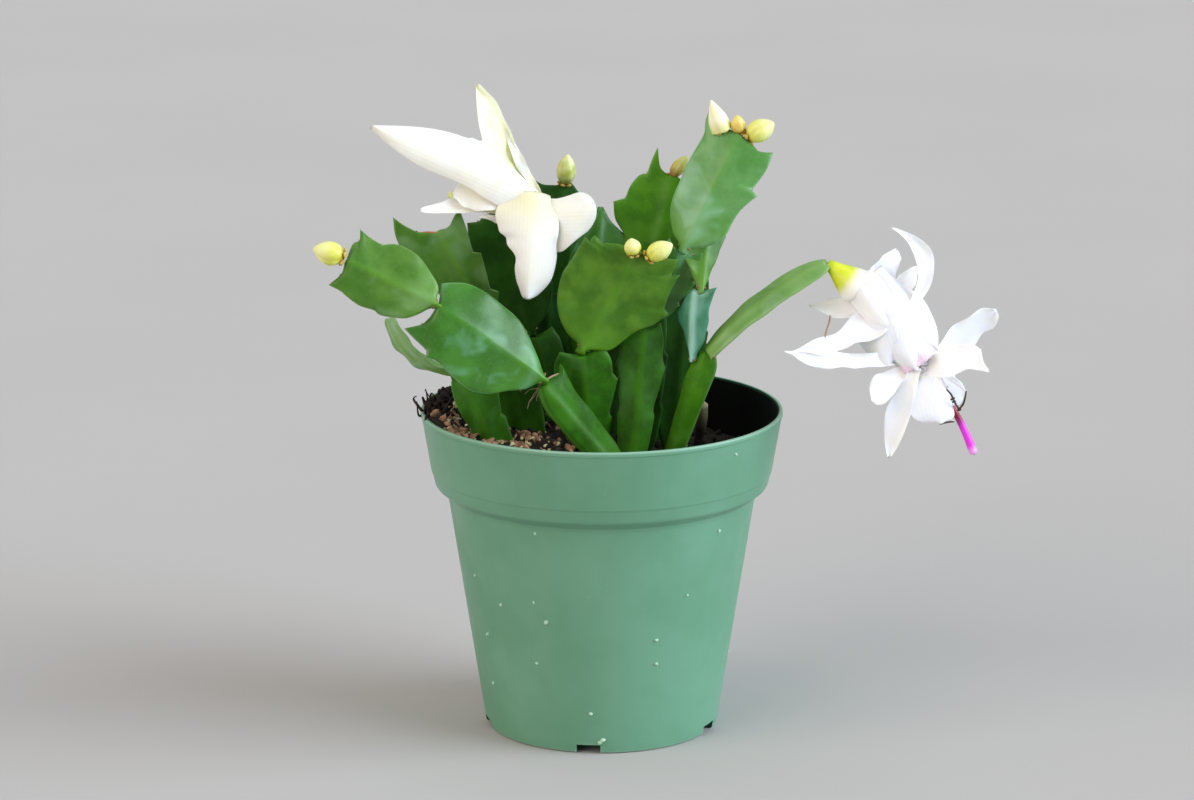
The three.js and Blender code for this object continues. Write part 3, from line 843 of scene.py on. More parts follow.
@dataclass(frozen=True)
class Blade:
    """A flat organ, such as a stem segment or a petal, grown from its base to its apex round a bowed midrib.

    The outlines are of the left and right sides as seen from the face. The bow is how far the middle of the
    midrib stands out of the straight line, and the cup is how far the margins come forward.
    """

    base: Vec
    apex: Vec
    face: Vec
    left: Outline
    right: Outline
    flesh: Flesh = PAD_FLESH
    bow: float = 0.0
    cup: float = 0.0
    ruffle: float = 0.0
    waves: float = 3.0
    lumps: float = 0.3
    twist: float = 0.0
    neck: float = 2.4
    rows: int = 60
    seed: int = 1
    side_bow: float = 0.0

    def _axes(self) -> tuple[Array, Array, Array, float]:
        """Finds what the blade is laid out by.

        Returns:
            The directions out of the face and across it, the bow's control point and the length.
        """
        base, apex = np.array(self.base, float), np.array(self.apex, float)
        length = float(np.linalg.norm(apex - base))
        along = (apex - base) / length
        out = unit(np.array(self.face) - along * np.dot(self.face, along))
        across = np.cross(along, out)
        control = (base + apex) / 2 + out * 2 * self.bow + across * 2 * self.side_bow
        return out, across, control, length

    def spot(self, share: Array, side: Array, reach: Array) -> tuple[Array, Array]:
        """Finds points on the middle of the blade's thickness.

        Args:
            share: How far along the midrib, where 0 is the base and 1 the apex.
            side: Millimetres to the right of the midrib.
            reach: The same as a share of the half width there.

        Returns:
            The points and the directions out of the face at them.
        """
        out, across, control, length = self._axes()
        base, apex = np.array(self.base, float), np.array(self.apex, float)
        inside = np.clip(share, 0, 1)[..., None]
        extra = (share - np.clip(share, 0, 1))[..., None]
        spine = (1 - inside) ** 2 * base + 2 * inside * (1 - inside) * control + inside**2 * apex
        tangent = 2 * ((1 - inside) * (control - base) + inside * (apex - control))
        spine = spine + tangent * extra
        angle = np.radians(self.twist) * (share - 0.5)[..., None]
        sideways = across * np.cos(angle) + out * np.sin(angle)
        normal = unit(np.cross(sideways, tangent))
        wave = np.sin(2 * math.pi * self.waves * share + np.sign(side) + self.seed)
        lift = self.cup * reach**2 + self.ruffle * reach**3 * wave
        lift = lift + self.lumps * ripple(share * length / LUMP_LENGTH, side / LUMP_LENGTH, self.seed)
        return spine + sideways * side[..., None] + normal * lift[..., None], normal

    def shape(self) -> Shape:
        """Builds the blade as two faces that meet in a rounded margin.

        Returns:
            A closed shape with all three marks.
        """
        length = self._axes()[3]
        heel = -self.neck / length
        sides = []
        for side in (self.left, self.right):
            sides.append(trace(((heel, side[0][1] * HEEL_TAPER), *side), length, self.rows))
        level = np.maximum.accumulate((sides[0][:, 0] + sides[1][:, 0]) / 2)
        even = np.linspace(0, 1, self.rows)
        share = ROW_FOLLOW * (level - level[0]) / (level[-1] - level[0]) + (1 - ROW_FOLLOW) * even
        end = (self.left[-1][0] + self.right[-1][0]) / 2
        middle = heel + (end - heel) * share
        columns = []
        for sign, (edge_share, edge) in zip((-1, 1), (side.T for side in sides)):
            rounding = np.minimum(self.flesh.rounding, MARGIN_SHARE * edge)
            spots = [(edge - rounding) * flat for flat in FLAT_COLUMNS]
            spots += [edge - rounding * left for left in ROUND_COLUMNS]
            found = [(sign * spot, spot / edge, edge - spot, edge_share) for spot in spots]
            columns.append(found[::-1] if sign < 0 else found)
        zero = np.zeros(self.rows)
        rib = [(zero, zero, (sides[0][:, 1] + sides[1][:, 1]) / 2, middle)]
        grid = zip(*columns[0], *rib, *columns[1])
        side, reach, margin, edge_share = (np.stack(found, 1) for found in grid)
        along = middle[:, None] + (edge_share - middle[:, None]) * reach**3
        centre, normal = self.spot(along, side, reach)
        thick = self._thickness(side, reach, margin, (end - middle) * length, (middle - heel) * length)
        return self._closed(centre, normal, thick, (along, margin, np.abs(side)))

    def _thickness(self, side: Array, reach: Array, margin: Array, to_end: Array, to_heel: Array) -> Array:
        """Finds half the thickness at each point, falling to nothing all round the outline.

        Args:
            side: Millimetres to the right of the midrib.
            reach: The same as a share of the half width there.
            margin: Millimetres in from the margin.
            to_end: Millimetres from each row to the apex.
            to_heel: Millimetres from each row to the heel.

        Returns:
            Half the thickness, in millimetres.
        """
        flesh = self.flesh
        round_margin = np.sqrt(1 - (1 - np.clip(margin / flesh.rounding, 0, 1)) ** 2)
        near_end = np.minimum(to_end, to_heel)[:, None] / flesh.rounding
        round_end = np.sqrt(1 - (1 - np.clip(near_end, 0, 1)) ** 2)
        fade = np.clip(to_end / RIB_FADE, 0.15, 1)[:, None]
        rib = flesh.rib * np.exp(-((side / flesh.rib_width) ** 2)) * fade
        return round_margin * round_end * (flesh.body + (flesh.margin - flesh.body) * reach**1.7 + rib) / 2

    def _closed(self, centre: Array, normal: Array, thick: Array, marks: tuple) -> Shape:
        """Joins a front and a back sheet along their shared outline.

        Args:
            centre: The points midway between the sheets.
            normal: The directions out of the face at them.
            thick: Half the thickness at them.
            marks: The marks' values at them, in the order of Mark.

        Returns:
            The closed shape.
        """
        rows, columns = thick.shape
        front = (centre + normal * thick[..., None]).reshape(-1, 3)
        back = (centre - normal * thick[..., None])[1:-1, 1:-1].reshape(-1, 3)
        index = np.arange(rows * columns).reshape(rows, columns)
        behind = index.copy()
        behind[1:-1, 1:-1] = rows * columns + np.arange(len(back)).reshape(rows - 2, columns - 2)
        front_faces = np.stack([index[:-1, :-1], index[:-1, 1:], index[1:, 1:], index[1:, :-1]], -1)
        back_faces = np.stack([behind[:-1, :-1], behind[1:, :-1], behind[1:, 1:], behind[:-1, 1:]], -1)
        found = {}
        for mark, values in zip(Mark, marks):
            found[mark] = np.concatenate([values.reshape(-1), values[1:-1, 1:-1].reshape(-1)])
        found[Mark.ALONG] = np.clip(found[Mark.ALONG], 0, 1)
        # Each corner's face is split through its inner point, so that the sheets share only the outline.
        last = (rows - 1) * (columns - 1) - 1
        faces = []
        for sheet in (front_faces, back_faces):
            for i, (a, b, c, d) in enumerate(sheet.reshape(-1, 4).tolist()):
                if i in (0, last):
                    faces += [(a, b, c), (a, c, d)]
                elif i in (columns - 2, last - columns + 2):
                    faces += [(a, b, d), (b, c, d)]
                else:
                    faces.append((a, b, c, d))
        return Shape(np.vstack([front, back]), faces, found)

    def notches(self) -> list[tuple[Array, Array]]:
        """Finds the notches on the outline.

        Returns:
            Each notch's point, with the direction that leads away from the midrib there.
        """
        found = []
        across = self._axes()[1]
        for sign, outline in ((-1, self.left), (1, self.right)):
            for point in outline:
                if len(point) > 2 and point[2] == NOTCH:
                    share, side = np.array([point[0]]), np.array([sign * point[1] * WOOL_SHARE])
                    found.append((self.spot(share, side, np.ones(1))[0][0], across * sign))
        return found


@dataclass(frozen=True)
class Turned:
    """A body that is round about a line, such as a bud or a flower's tube, fluted down its side or plain."""

    base: Vec
    tip: Vec
    profile: Outline
    flutes: int = 0
    depth: float = 0.0
    swirl: float = 0.0
    segments: int = 32
    steps: int = 6
    # How far the base and the tip count as being from a seam.
    end_mark: float = 1.0

    def shape(self) -> Shape:
        """Builds the body from its profile of share along and radius, which starts and ends on the line.

        Returns:
            A closed shape, marked with how far along each point is and how far from a seam of the flutes.
        """
        base, tip = np.array(self.base, float), np.array(self.tip, float)
        length = float(np.linalg.norm(tip - base))
        axis = (tip - base) / length
        first, second = crossways(axis, (0.3, 0.9, 0.1))
        points = np.array([point[:2] for point in self.profile])
        stops = [0, *[i for i, p in enumerate(self.profile) if len(p) > 2], len(points) - 1]
        runs = [smooth_run(points[a : b + 1], self.steps) for a, b in zip(stops, stops[1:])]
        curve = np.vstack([runs[0], *[run[1:] for run in runs[1:]]])
        angle = np.linspace(0, 2 * math.pi, self.segments, endpoint=False)
        inner = curve[1:-1]
        turn = self.flutes * angle[None, :] + self.swirl * inner[:, :1]
        seam = np.abs(np.sin(turn / 2)) if self.flutes else np.ones_like(turn)
        radius = np.maximum(inner[:, 1:], 0) * (1 - self.depth * (1 - seam) ** 2)
        centre = base + axis * (inner[:, :1] * length)
        ring = first * np.cos(angle)[:, None] + second * np.sin(angle)[:, None]
        body = (centre[:, None, :] + ring[None] * radius[..., None]).reshape(-1, 3)
        ends = np.array([base + axis * (curve[0, 0] * length), base + axis * (curve[-1, 0] * length)])
        share = np.concatenate([np.repeat(inner[:, 0], self.segments), curve[[0, -1], 0]])
        edge = np.concatenate([(seam * radius).reshape(-1), [self.end_mark] * 2])
        marks = {Mark.ALONG: np.clip(share, 0, 1), Mark.FROM_EDGE: edge}
        return Shape(np.vstack([body, ends]), hoops(len(inner), self.segments), marks)


@dataclass(frozen=True)
class Rod:
    """A thin round thing that follows a path, such as a filament, a root or a hair.

    It goes evenly from one radius to the other, and its start and end are drawn out to a blunt point.
    """

    path: tuple[Vec, ...]
    radius: float
    end_radius: float
    sides: int = 8
    steps: int = 6
    # How far the start and the end are drawn out, in radii.
    drawn_out: Span = (0.6, 0.8)

    def shape(self) -> Shape:
        """Builds the rod with a closed point at each end.

        Returns:
            A closed shape, marked with how far along each point is.
        """
        curve = smooth_run(np.array(self.path, float), self.steps)
        tangent = unit(np.gradient(curve, axis=0))
        first, second = crossways(tangent, (0.31, 0.23, 0.92))
        share = np.linspace(0, 1, len(curve))
        radius = self.radius + (self.end_radius - self.radius) * share
        angle = np.linspace(0, 2 * math.pi, self.sides, endpoint=False)
        ring = first[:, None] * np.cos(angle)[:, None] + second[:, None] * np.sin(angle)[:, None]
        body = (curve[:, None] + ring * radius[:, None, None]).reshape(-1, 3)
        start = curve[0] - tangent[0] * radius[0] * self.drawn_out[0]
        end = curve[-1] + tangent[-1] * radius[-1] * self.drawn_out[1]
        along = np.concatenate([np.repeat(share, self.sides), [0, 1]])
        return Shape(np.vstack([body, start, end]), hoops(len(curve), self.sides), {Mark.ALONG: along})


def pebble(centre: Array, size: Sequence[float], rng: Dice, roughness: float = 0.25) -> Shape:
    """Makes one uneven grain.

    Args:
        centre: Where its middle is.
        size: Its half sizes before it is turned.
        rng: The source of its turn and bumps.
        roughness: How uneven it is, as a share of its size.

    Returns:
        A closed lump.
    """
    ball = bmesh.new()
    bmesh.ops.create_icosphere(ball, subdivisions=2, radius=1.0)
    points = np.array([vert.co for vert in ball.verts])
    faces = [tuple(vert.index for vert in face.verts) for face in ball.faces]
    ball.free()
    points = points * (1 + roughness * (rng.random(len(points)) - 0.5) * 2)[:, None] * np.array(size)
    turn, _ = np.linalg.qr(rng.normal(size=(3, 3)))
    turn = turn * np.sign(np.linalg.det(turn))
    return Shape(points @ turn.T + centre, faces)


@dataclass
class NurseryPot:
    """The round tapered pot: a foot with a ring channel and drain slots, a plain wall and a flared collar.

    Each profile point is a radius, a height and how far its corner is rounded.
    """

    outside: Outline = (
        (0, 0, 0), (20, 0, 0.3), (22, 1.3, 0.3), (31, 1.3, 0.3), (33.2, 0, 0.3), (35, 0.2, 1.5),
        (46.0, 70.8, 0.25), (46.4, 72.1, 0.4), (49.8, 74.5, 0.8), (50.65, 78.2, 0.2), (51.0, 78.8, 0.2),
        (53.75, 95.2, 0.3), (54.05, 95.5, 0.2), (54.05, 96.9, 0.5),
    )
    inside: Outline = (
        (52.8, 96.9, 0.5), (48.7, 76.4, 1), (44.9, 71.4, 0.8), (33.7, 2.9, 1), (31, 2.6, 0.3), (22, 2.6, 0.3),
        (20, 1.3, 0.3), (0, 1.3, 0),
    )
    segments: int = 160
    slots: int = 5
    slot_width: float = 7.2
    slot_height: float = 2.9
    slot_reach: float = 7.0
    slot_turn: float = -6.4
    foot_radius: float = 35.0
    # A straight run of the wall that is longer than this gets loops near its ends and evenly between them.
    long_run: float = 8.0
    end_loop: float = 3.4
    loop_gap: float = 7.0
    # Only the corners above the one height and below the other are scuffed.
    scuffed_above: float = 96.0
    scuffed_below: float = 0.5
    # Corners that turn by more degrees than this stay sharp.
    sharp_turn: float = 50.0

    def profile(self) -> tuple[Array, int]:
        """Rounds the profile's corners.

        Returns:
            The profile's points, and how many of them are on the outside.
        """
        corners = [*self.outside, *self.inside]
        made, outer = [np.array(corners[0][:2], float)], 0
        start = made[0]
        for i in range(1, len(corners) - 1):
            here = np.array(corners[i][:2], float)
            to_last = np.array(corners[i - 1][:2]) - here
            to_next = np.array(corners[i + 1][:2]) - here
            cut = min(corners[i][2], 0.45 * np.linalg.norm(to_last), 0.45 * np.linalg.norm(to_next))
            first, last = here + unit(to_last) * cut, here + unit(to_next) * cut
            gap = np.linalg.norm(first - made[-1])
            if gap > self.long_run:
                near = min(self.end_loop / gap, 0.3)
                between = np.linspace(near, 1 - near, math.ceil(gap / self.loop_gap))[1:-1]
                for t in (near, *between, 1 - near):
                    made.append((1 - t) * start + t * first)
            for t in np.linspace(0, 1, 5):
                made.append((1 - t) ** 2 * first + 2 * t * (1 - t) * here + t**2 * last)
            start = last
            if i == len(self.outside) - 1:
                outer = len(made)
        return np.vstack([*made, np.array(corners[-1][:2], float)]), outer

    def wall_shape(self) -> Shape:
        """Turns the profile into the pot's wall.

        Returns:
            The closed wall, marked with how near each point is to a corner.
        """
        curve, outer = self.profile()
        corners = np.array([corner[:2] for corner in (*self.outside, *self.inside)][1:-1], float)
        corners = corners[(corners[:, 1] > self.scuffed_above) | (corners[:, 1] < self.scuffed_below)]
        body, n = curve[1:-1], self.segments
        near = np.linalg.norm(body[:, None] - corners[None], axis=2).min(1)
        angle = np.linspace(0, 2 * math.pi, n, endpoint=False)
        ring = np.stack([np.cos(angle), np.sin(angle)], 1)
        points = [np.column_stack([ring * radius, np.full(n, height)]) for radius, height in body]
        faces = hoops(len(body), n)
        # A face is on the inside if the lower numbered of its rings is.
        coats = [int(min(face[1:]) // n >= outer) for face in faces]
        ends = [[0, 0, curve[0, 1]], [0, 0, curve[-1, 1]]]
        marks = {Mark.FROM_EDGE: np.concatenate([np.repeat(near, n), [FAR, FAR]])}
        return Shape(np.vstack([*points, ends]), faces, marks, coats)

    def slot_boxes(self) -> Shape:
        """Makes the blocks that cut the drain slots out of the foot's corner.

        Returns:
            All the blocks in one shape, with the inside's coat.
        """
        blocks = []
        below_foot = -1.0
        heights = (below_foot, self.slot_height)
        corners = [(x, y, z) for x in (-0.5, 0.5) for y in (-0.5, 0.5) for z in heights]
        faces = [(0, 1, 3, 2), (4, 6, 7, 5), (0, 4, 5, 1), (2, 3, 7, 6), (0, 2, 6, 4), (1, 5, 7, 3)]
        for i in range(self.slots):
            angle = math.radians(self.slot_turn + 360 * i / self.slots)
            c, s = math.cos(angle), math.sin(angle)
            turn = np.array([[c, -s, 0], [s, c, 0], [0, 0, 1]])
            block = np.array(corners) * [self.slot_width, self.slot_reach, 1] + [0, -self.foot_radius, 0]
            blocks.append(Shape(block @ turn.T, faces))
        made = Shape.joined(blocks)
        # The slots' cut faces take the inside's near-black painted shade.
        made.coats = [1] * len(made.faces)
        return made

    def build(self) -> None:
        """Cuts the slots and places the pot."""
        finishes = [POT_OUTSIDE, POT_INSIDE]
        wall = bpy.data.objects.new("pot_wall", self.wall_shape().mesh("pot_wall", finishes))
        cutter = bpy.data.objects.new("slot_blocks", self.slot_boxes().mesh("slot_blocks", finishes))
        for made in (wall, cutter):
            bpy.context.scene.collection.objects.link(made)
        cut = wall.modifiers.new("slots", "BOOLEAN")
        cut.object, cut.operation, cut.solver = cutter, "DIFFERENCE", "EXACT"
        evaluated = wall.evaluated_get(bpy.context.evaluated_depsgraph_get())
        mesh = bpy.data.meshes.new_from_object(evaluated)
        for made in (wall, cutter):
            bpy.data.objects.remove(made)
        mesh.set_sharp_from_angle(angle=math.radians(self.sharp_turn))
        place(bpy.data.objects.new("nursery_pot", mesh), "pot_plastic", ["pot"])


@dataclass
class PottingMix:
    """The mix in the pot: high and heaped on the left, sunk on the right, with grains strewn over it."""

    high: float = 93.5
    low: float = 80.5
    fall: float = 15.0
    fall_centre: float = 6.0
    heap: float = 3.0
    heap_start: float = 40.0
    heap_width: float = 10.0
    lump: float = 0.7
    crumb: float = 0.55
    crumb_pitch: float = 1.6
    strewn_reach: float = 51.0
    rim_reach: float = 50.0
    rings: int = 44
    segments: int = 120
    clearance: float = 0.3
    # The pot's inside, as heights and the radii at them.
    wall_heights: tuple[float, ...] = (2.9, 71.4, 76.4, 97.0)
    wall_radii: tuple[float, ...] = (33.7, 44.9, 48.7, 52.7)
    # Where the plug has its loops down the wall, the last of them its floor.
    plug: tuple[float, ...] = (78.0, 76.4, 74.0, 71.4, 50.0, 25.0, 3.2)

    def level(self, x: Array, y: Array) -> Array:
        """Finds the height of the mix at places in the pot.

        Args:
            x: How far right of the middle each place is.
            y: How far behind the middle each place is.

        Returns:
            The heights above the foot.
        """
        drop = 0.5 - 0.5 * np.tanh((x - self.fall_centre) / self.fall)
        near_rim = np.clip((-x - self.heap_start) / self.heap_width, 0, 1)
        lumps = self.lump * (np.sin(0.31 * x + 1.1) * np.cos(0.27 * y) + 0.6 * np.sin(0.53 * y - 0.2 * x))
        heap = self.heap * near_rim**2 * (3 - 2 * near_rim)
        return self.low + (self.high - self.low) * drop + heap + lumps

    def wall(self, height: Array) -> Array:
        """Gives how far out the mix reaches at a height."""
        return np.interp(height, self.wall_heights, self.wall_radii) - self.clearance

    def surface(self) -> Shape:
        """Builds the mix as a lumpy top over a plug that fills the pot.

        Returns:
            The closed plug.
        """
        angle = np.linspace(0, 2 * math.pi, self.segments, endpoint=False)
        x, y = np.cos(angle), np.sin(angle)
        rim = self.wall(self.level(x * self.rim_reach, y * self.rim_reach))
        rng = np.random.default_rng(7)
        rings = []
        for i in range(1, self.rings + 1):
            reach = rim * (i / self.rings)
            top = self.level(x * reach, y * reach)
            crumb = self.crumb * ripple(x * reach * self.crumb_pitch, y * reach * self.crumb_pitch, 3)
            crumb = crumb + 0.5 * (rng.random(self.segments) - 0.5)
            rings.append(np.column_stack([x * reach, y * reach, top + crumb * (i < self.rings)]))
        edge = rings[-1][:, 2]
        for level in self.plug:
            height = np.minimum(edge - 0.5, level)
            reach = self.wall(height)
            rings.append(np.column_stack([x * reach, y * reach, height]))
        # The rings run from the middle outwards, so the skin's faces are turned over.
        faces = [(face[0], *face[:0:-1]) for face in hoops(len(rings), self.segments)]
        ends = [[0, 0, float(self.level(np.zeros(1), np.zeros(1))[0])], [0, 0, self.plug[-1]]]
        return Shape(np.vstack([*rings, ends]), faces)

    def strewn(self, count: int, sizes: Span, stretch: Vec, seed: int, sector: Sequence[float]) -> Shape:
        """Strews grains over the mix.

        Args:
            count: How many grains.
            sizes: The least and greatest half size.
            stretch: How much longer, wider and thicker a grain is than that.
            seed: The seed of their places.
            sector: The least and greatest share of the radius, then of a turn from +X, that they lie in.

        Returns:
            All the grains in one shape.
        """
        rng = np.random.default_rng(seed)
        grains = []
        for _ in range(count):
            reach = self.strewn_reach * math.sqrt(rng.uniform(sector[0] ** 2, sector[1] ** 2))
            turn = 2 * math.pi * rng.uniform(sector[2], sector[3])
            size = rng.uniform(*sizes)
            x, y = reach * math.cos(turn), reach * math.sin(turn)
            top = float(self.level(np.array([x]), np.array([y]))[0])
            limit = float(self.wall(np.array([top]))[0]) - size
            x, y = x * min(1, limit / reach), y * min(1, limit / reach)
            grains.append(pebble(np.array([x, y, top + size * 0.35]), size * np.array(stretch), rng))
        return Shape.joined(grains)

    def build(self) -> None:
        """Places the mix, then its peat crumbs, bark and perlite."""
        self.surface().piece("peat_surface", PEAT, "potting_mix", ["potting_mix"])
        crumb, chip, grain = (1.2, 1.0, 0.7), (1.5, 0.9, 0.5), (1.1, 1.0, 0.8)
        peat = self.strewn(420, (0.5, 1.5), crumb, 11, (0, 1, 0, 1))
        peat.piece("peat_crumbs", PEAT, "potting_mix")
        bark = [
            self.strewn(130, (0.45, 1.3), chip, 12, (0.3, 1, 0.35, 0.72)),
            self.strewn(40, (0.4, 1.0), chip, 15, (0.1, 0.95, 0.72, 1.3)),
            self.strewn(70, (0.6, 1.4), chip, 16, (0.86, 1, 0.5, 0.6)),
        ]
        Shape.joined(bark).piece("bark_chips", BARK, "potting_mix")
        perlite = [
            self.strewn(260, (0.25, 0.8), grain, 13, (0.6, 1, 0.42, 0.78)),
            self.strewn(60, (0.25, 0.7), grain, 14, (0.1, 0.95, 0.0, 1.0)),
        ]
        Shape.joined(perlite).piece("perlite_grains", PERLITE, "potting_mix")


# Outlines in shares of the half width, for segments that are seen from the side or not at all.
STEM_SIDE: Outline = (
    (0, 0.42), (0.2, 0.56), (0.45, 0.74, TIP), (0.49, 0.66, NOTCH), (0.62, 0.84), (0.74, 1, TIP),
    (0.79, 0.86, NOTCH), (0.9, 0.84), (1.0, 0.66, TIP), (0.97, 0.3), (0.96, 0.1),
)
BROAD_SIDE: Outline = (
    (0, 0.12), (0.07, 0.42), (0.18, 0.72), (0.34, 0.92, TIP), (0.38, 0.8, NOTCH), (0.52, 0.94),
    (0.67, 1.05, TIP), (0.7, 0.88, NOTCH), (0.86, 0.92), (1.05, 0.74, TIP), (0.97, 0.42, NOTCH), (0.96, 0.12),
)
SLENDER_SIDE: Outline = (
    (0, 0.66), (0.1, 0.78), (0.25, 0.9), (0.42, 0.98), (0.6, 1.0), (0.72, 0.97), (0.86, 0.86), (0.95, 0.68),
    (1.0, 0.42),
)
PETAL_SIDE: Outline = (
    (0, 0.4), (0.2, 0.7), (0.42, 0.97), (0.6, 1.0), (0.76, 0.82), (0.9, 0.46), (0.97, 0.2), (1.0, 0.05),
)


def widened(outline: Outline, half: float) -> Outline:
    """Gives an outline of shares its real half width."""
    return tuple((point[0], point[1] * half, *point[2:]) for point in outline)


@dataclass(frozen=True)
class Segment:
    """One stem segment: where it grows from and to, the way it faces, its skin and its outline."""

    name: str
    base: Vec
    apex: Vec
    face: Vec
    skin: Skin = Skin.GREEN
    width: float = 0.0
    side: Outline = BROAD_SIDE
    left: Outline = ()
    right: Outline = ()
    bow: float = 0.0
    cup: float = 0.8
    twist: float = 0.0
    ruffle: float = 0.4
    neck: float = 2.4
    # Another skin in place of the slot's own; each of these paints light or shade into the skin.
    wax: WaxySkin | None = None
    node: bool = True

    def finish(self) -> WaxySkin:
        """Gives the segment's finish, which is its skin's own unless it is given another skin with painted
        light or painted shade.
        """
        return self.wax or SKINS[self.skin]

    def blade(self) -> Blade:
        """Shapes the segment's flat body.

        Returns:
            The blade, thick and plain where the segment is old.
        """
        old = self.skin is Skin.OLD
        plain = widened(self.side, self.width / 2)
        flesh, cup, ruffle = (STEM_FLESH, 0.0, 0.25) if old else (PAD_FLESH, self.cup, self.ruffle)
        return Blade(
            self.base, self.apex, self.face, self.left or plain, self.right or plain, flesh, self.bow, cup,
            ruffle, twist=self.twist, neck=self.neck, seed=seed_of(self.name),
        )


# The stems that rise out of the mix, left to right and front to back.
STEMS = (
    Segment(
        "front_left_stem", (5, -32, 84), (-18, -38, 113.4), (0.5, -0.75, 0.4), Skin.OLD,
        left=((0, 3.6), (0.41, 4.2), (0.58, 4.5), (0.74, 4.2), (0.88, 3.3), (0.97, 1.9), (0.985, 0.8)),
        right=((0, 5.4), (0.25, 6.6), (0.39, 7.2), (0.55, 7.4), (0.7, 7.7), (0.85, 8.7), (0.97, 9.8, TIP),
               (0.93, 8), (0.95, 5), (0.98, 2.2), (0.985, 0.8)),
    ),
    Segment(
        "right_stem", (17.5, -12.5, 74), (31, -18, 118.6), (-0.3, -0.95, 0.1), Skin.OLD, wax=LIT_GREEN,
        left=((0, 2.8), (0.33, 3.1), (0.6, 3.5), (0.78, 3.9), (0.9, 3.1), (0.97, 2.3), (0.99, 0.8)),
        right=((0, 2.8), (0.33, 3.1), (0.55, 3.5), (0.75, 4.1), (0.88, 4.3), (0.96, 3.6), (1.02, 1.8),
               (1, 0.8)),
    ),
    Segment("centre_stem", (-3, -17, 80), (-5.9, -24, 120.5), (0.1, -0.95, 0.2), Skin.OLD, 20, STEM_SIDE),
    Segment("tall_stem", (8, -22, 77), (12.4, -16, 127), (0.1, -1, 0), Skin.OLD, 15, STEM_SIDE),
    Segment(
        "left_stem", (-27, -24, 84), (-42.5, -22, 113), (-0.1, -0.95, 0.2), Skin.OLD, 18, STEM_SIDE,
        left=((0, 3.6), (0.2, 4.6), (0.45, 5.2, TIP), (0.49, 4.4, NOTCH), (0.64, 4.8), (0.8, 4.4),
              (0.92, 3.2), (0.97, 1.8), (0.96, 0.9)),
    ),
    Segment("upper_left_stem", (-19.5, -12, 82), (-31, -9, 121.5), (0, -1, 0.1), Skin.OLD, 20, STEM_SIDE),
    Segment("flower_stem", (-13, 1, 80), (-20.6, 4, 119.5), (0.3, -0.9, 0.1), Skin.OLD, 19, STEM_SIDE),
    Segment("top_stem", (-3, 6, 79), (-7, 10, 121.5), (-0.2, -1, 0), Skin.OLD, 20, STEM_SIDE),
    Segment("back_right_stem", (16, 12, 76), (20, 22, 112), (0.4, 0.8, 0.2), Skin.OLD, 15, STEM_SIDE),
    Segment("back_stem", (-2, 22, 78), (0, 32, 112), (0, 1, 0.2), Skin.OLD, 16, STEM_SIDE),
    Segment("back_left_stem", (-22, 15, 80), (-28, 25, 112), (-0.5, 0.8, 0.2), Skin.OLD, 15, STEM_SIDE),
    Segment("left_small_stem", (-33, 3, 84), (-43, 13, 108), (-0.7, 0.6, 0.3), Skin.OLD, 13, STEM_SIDE),
)

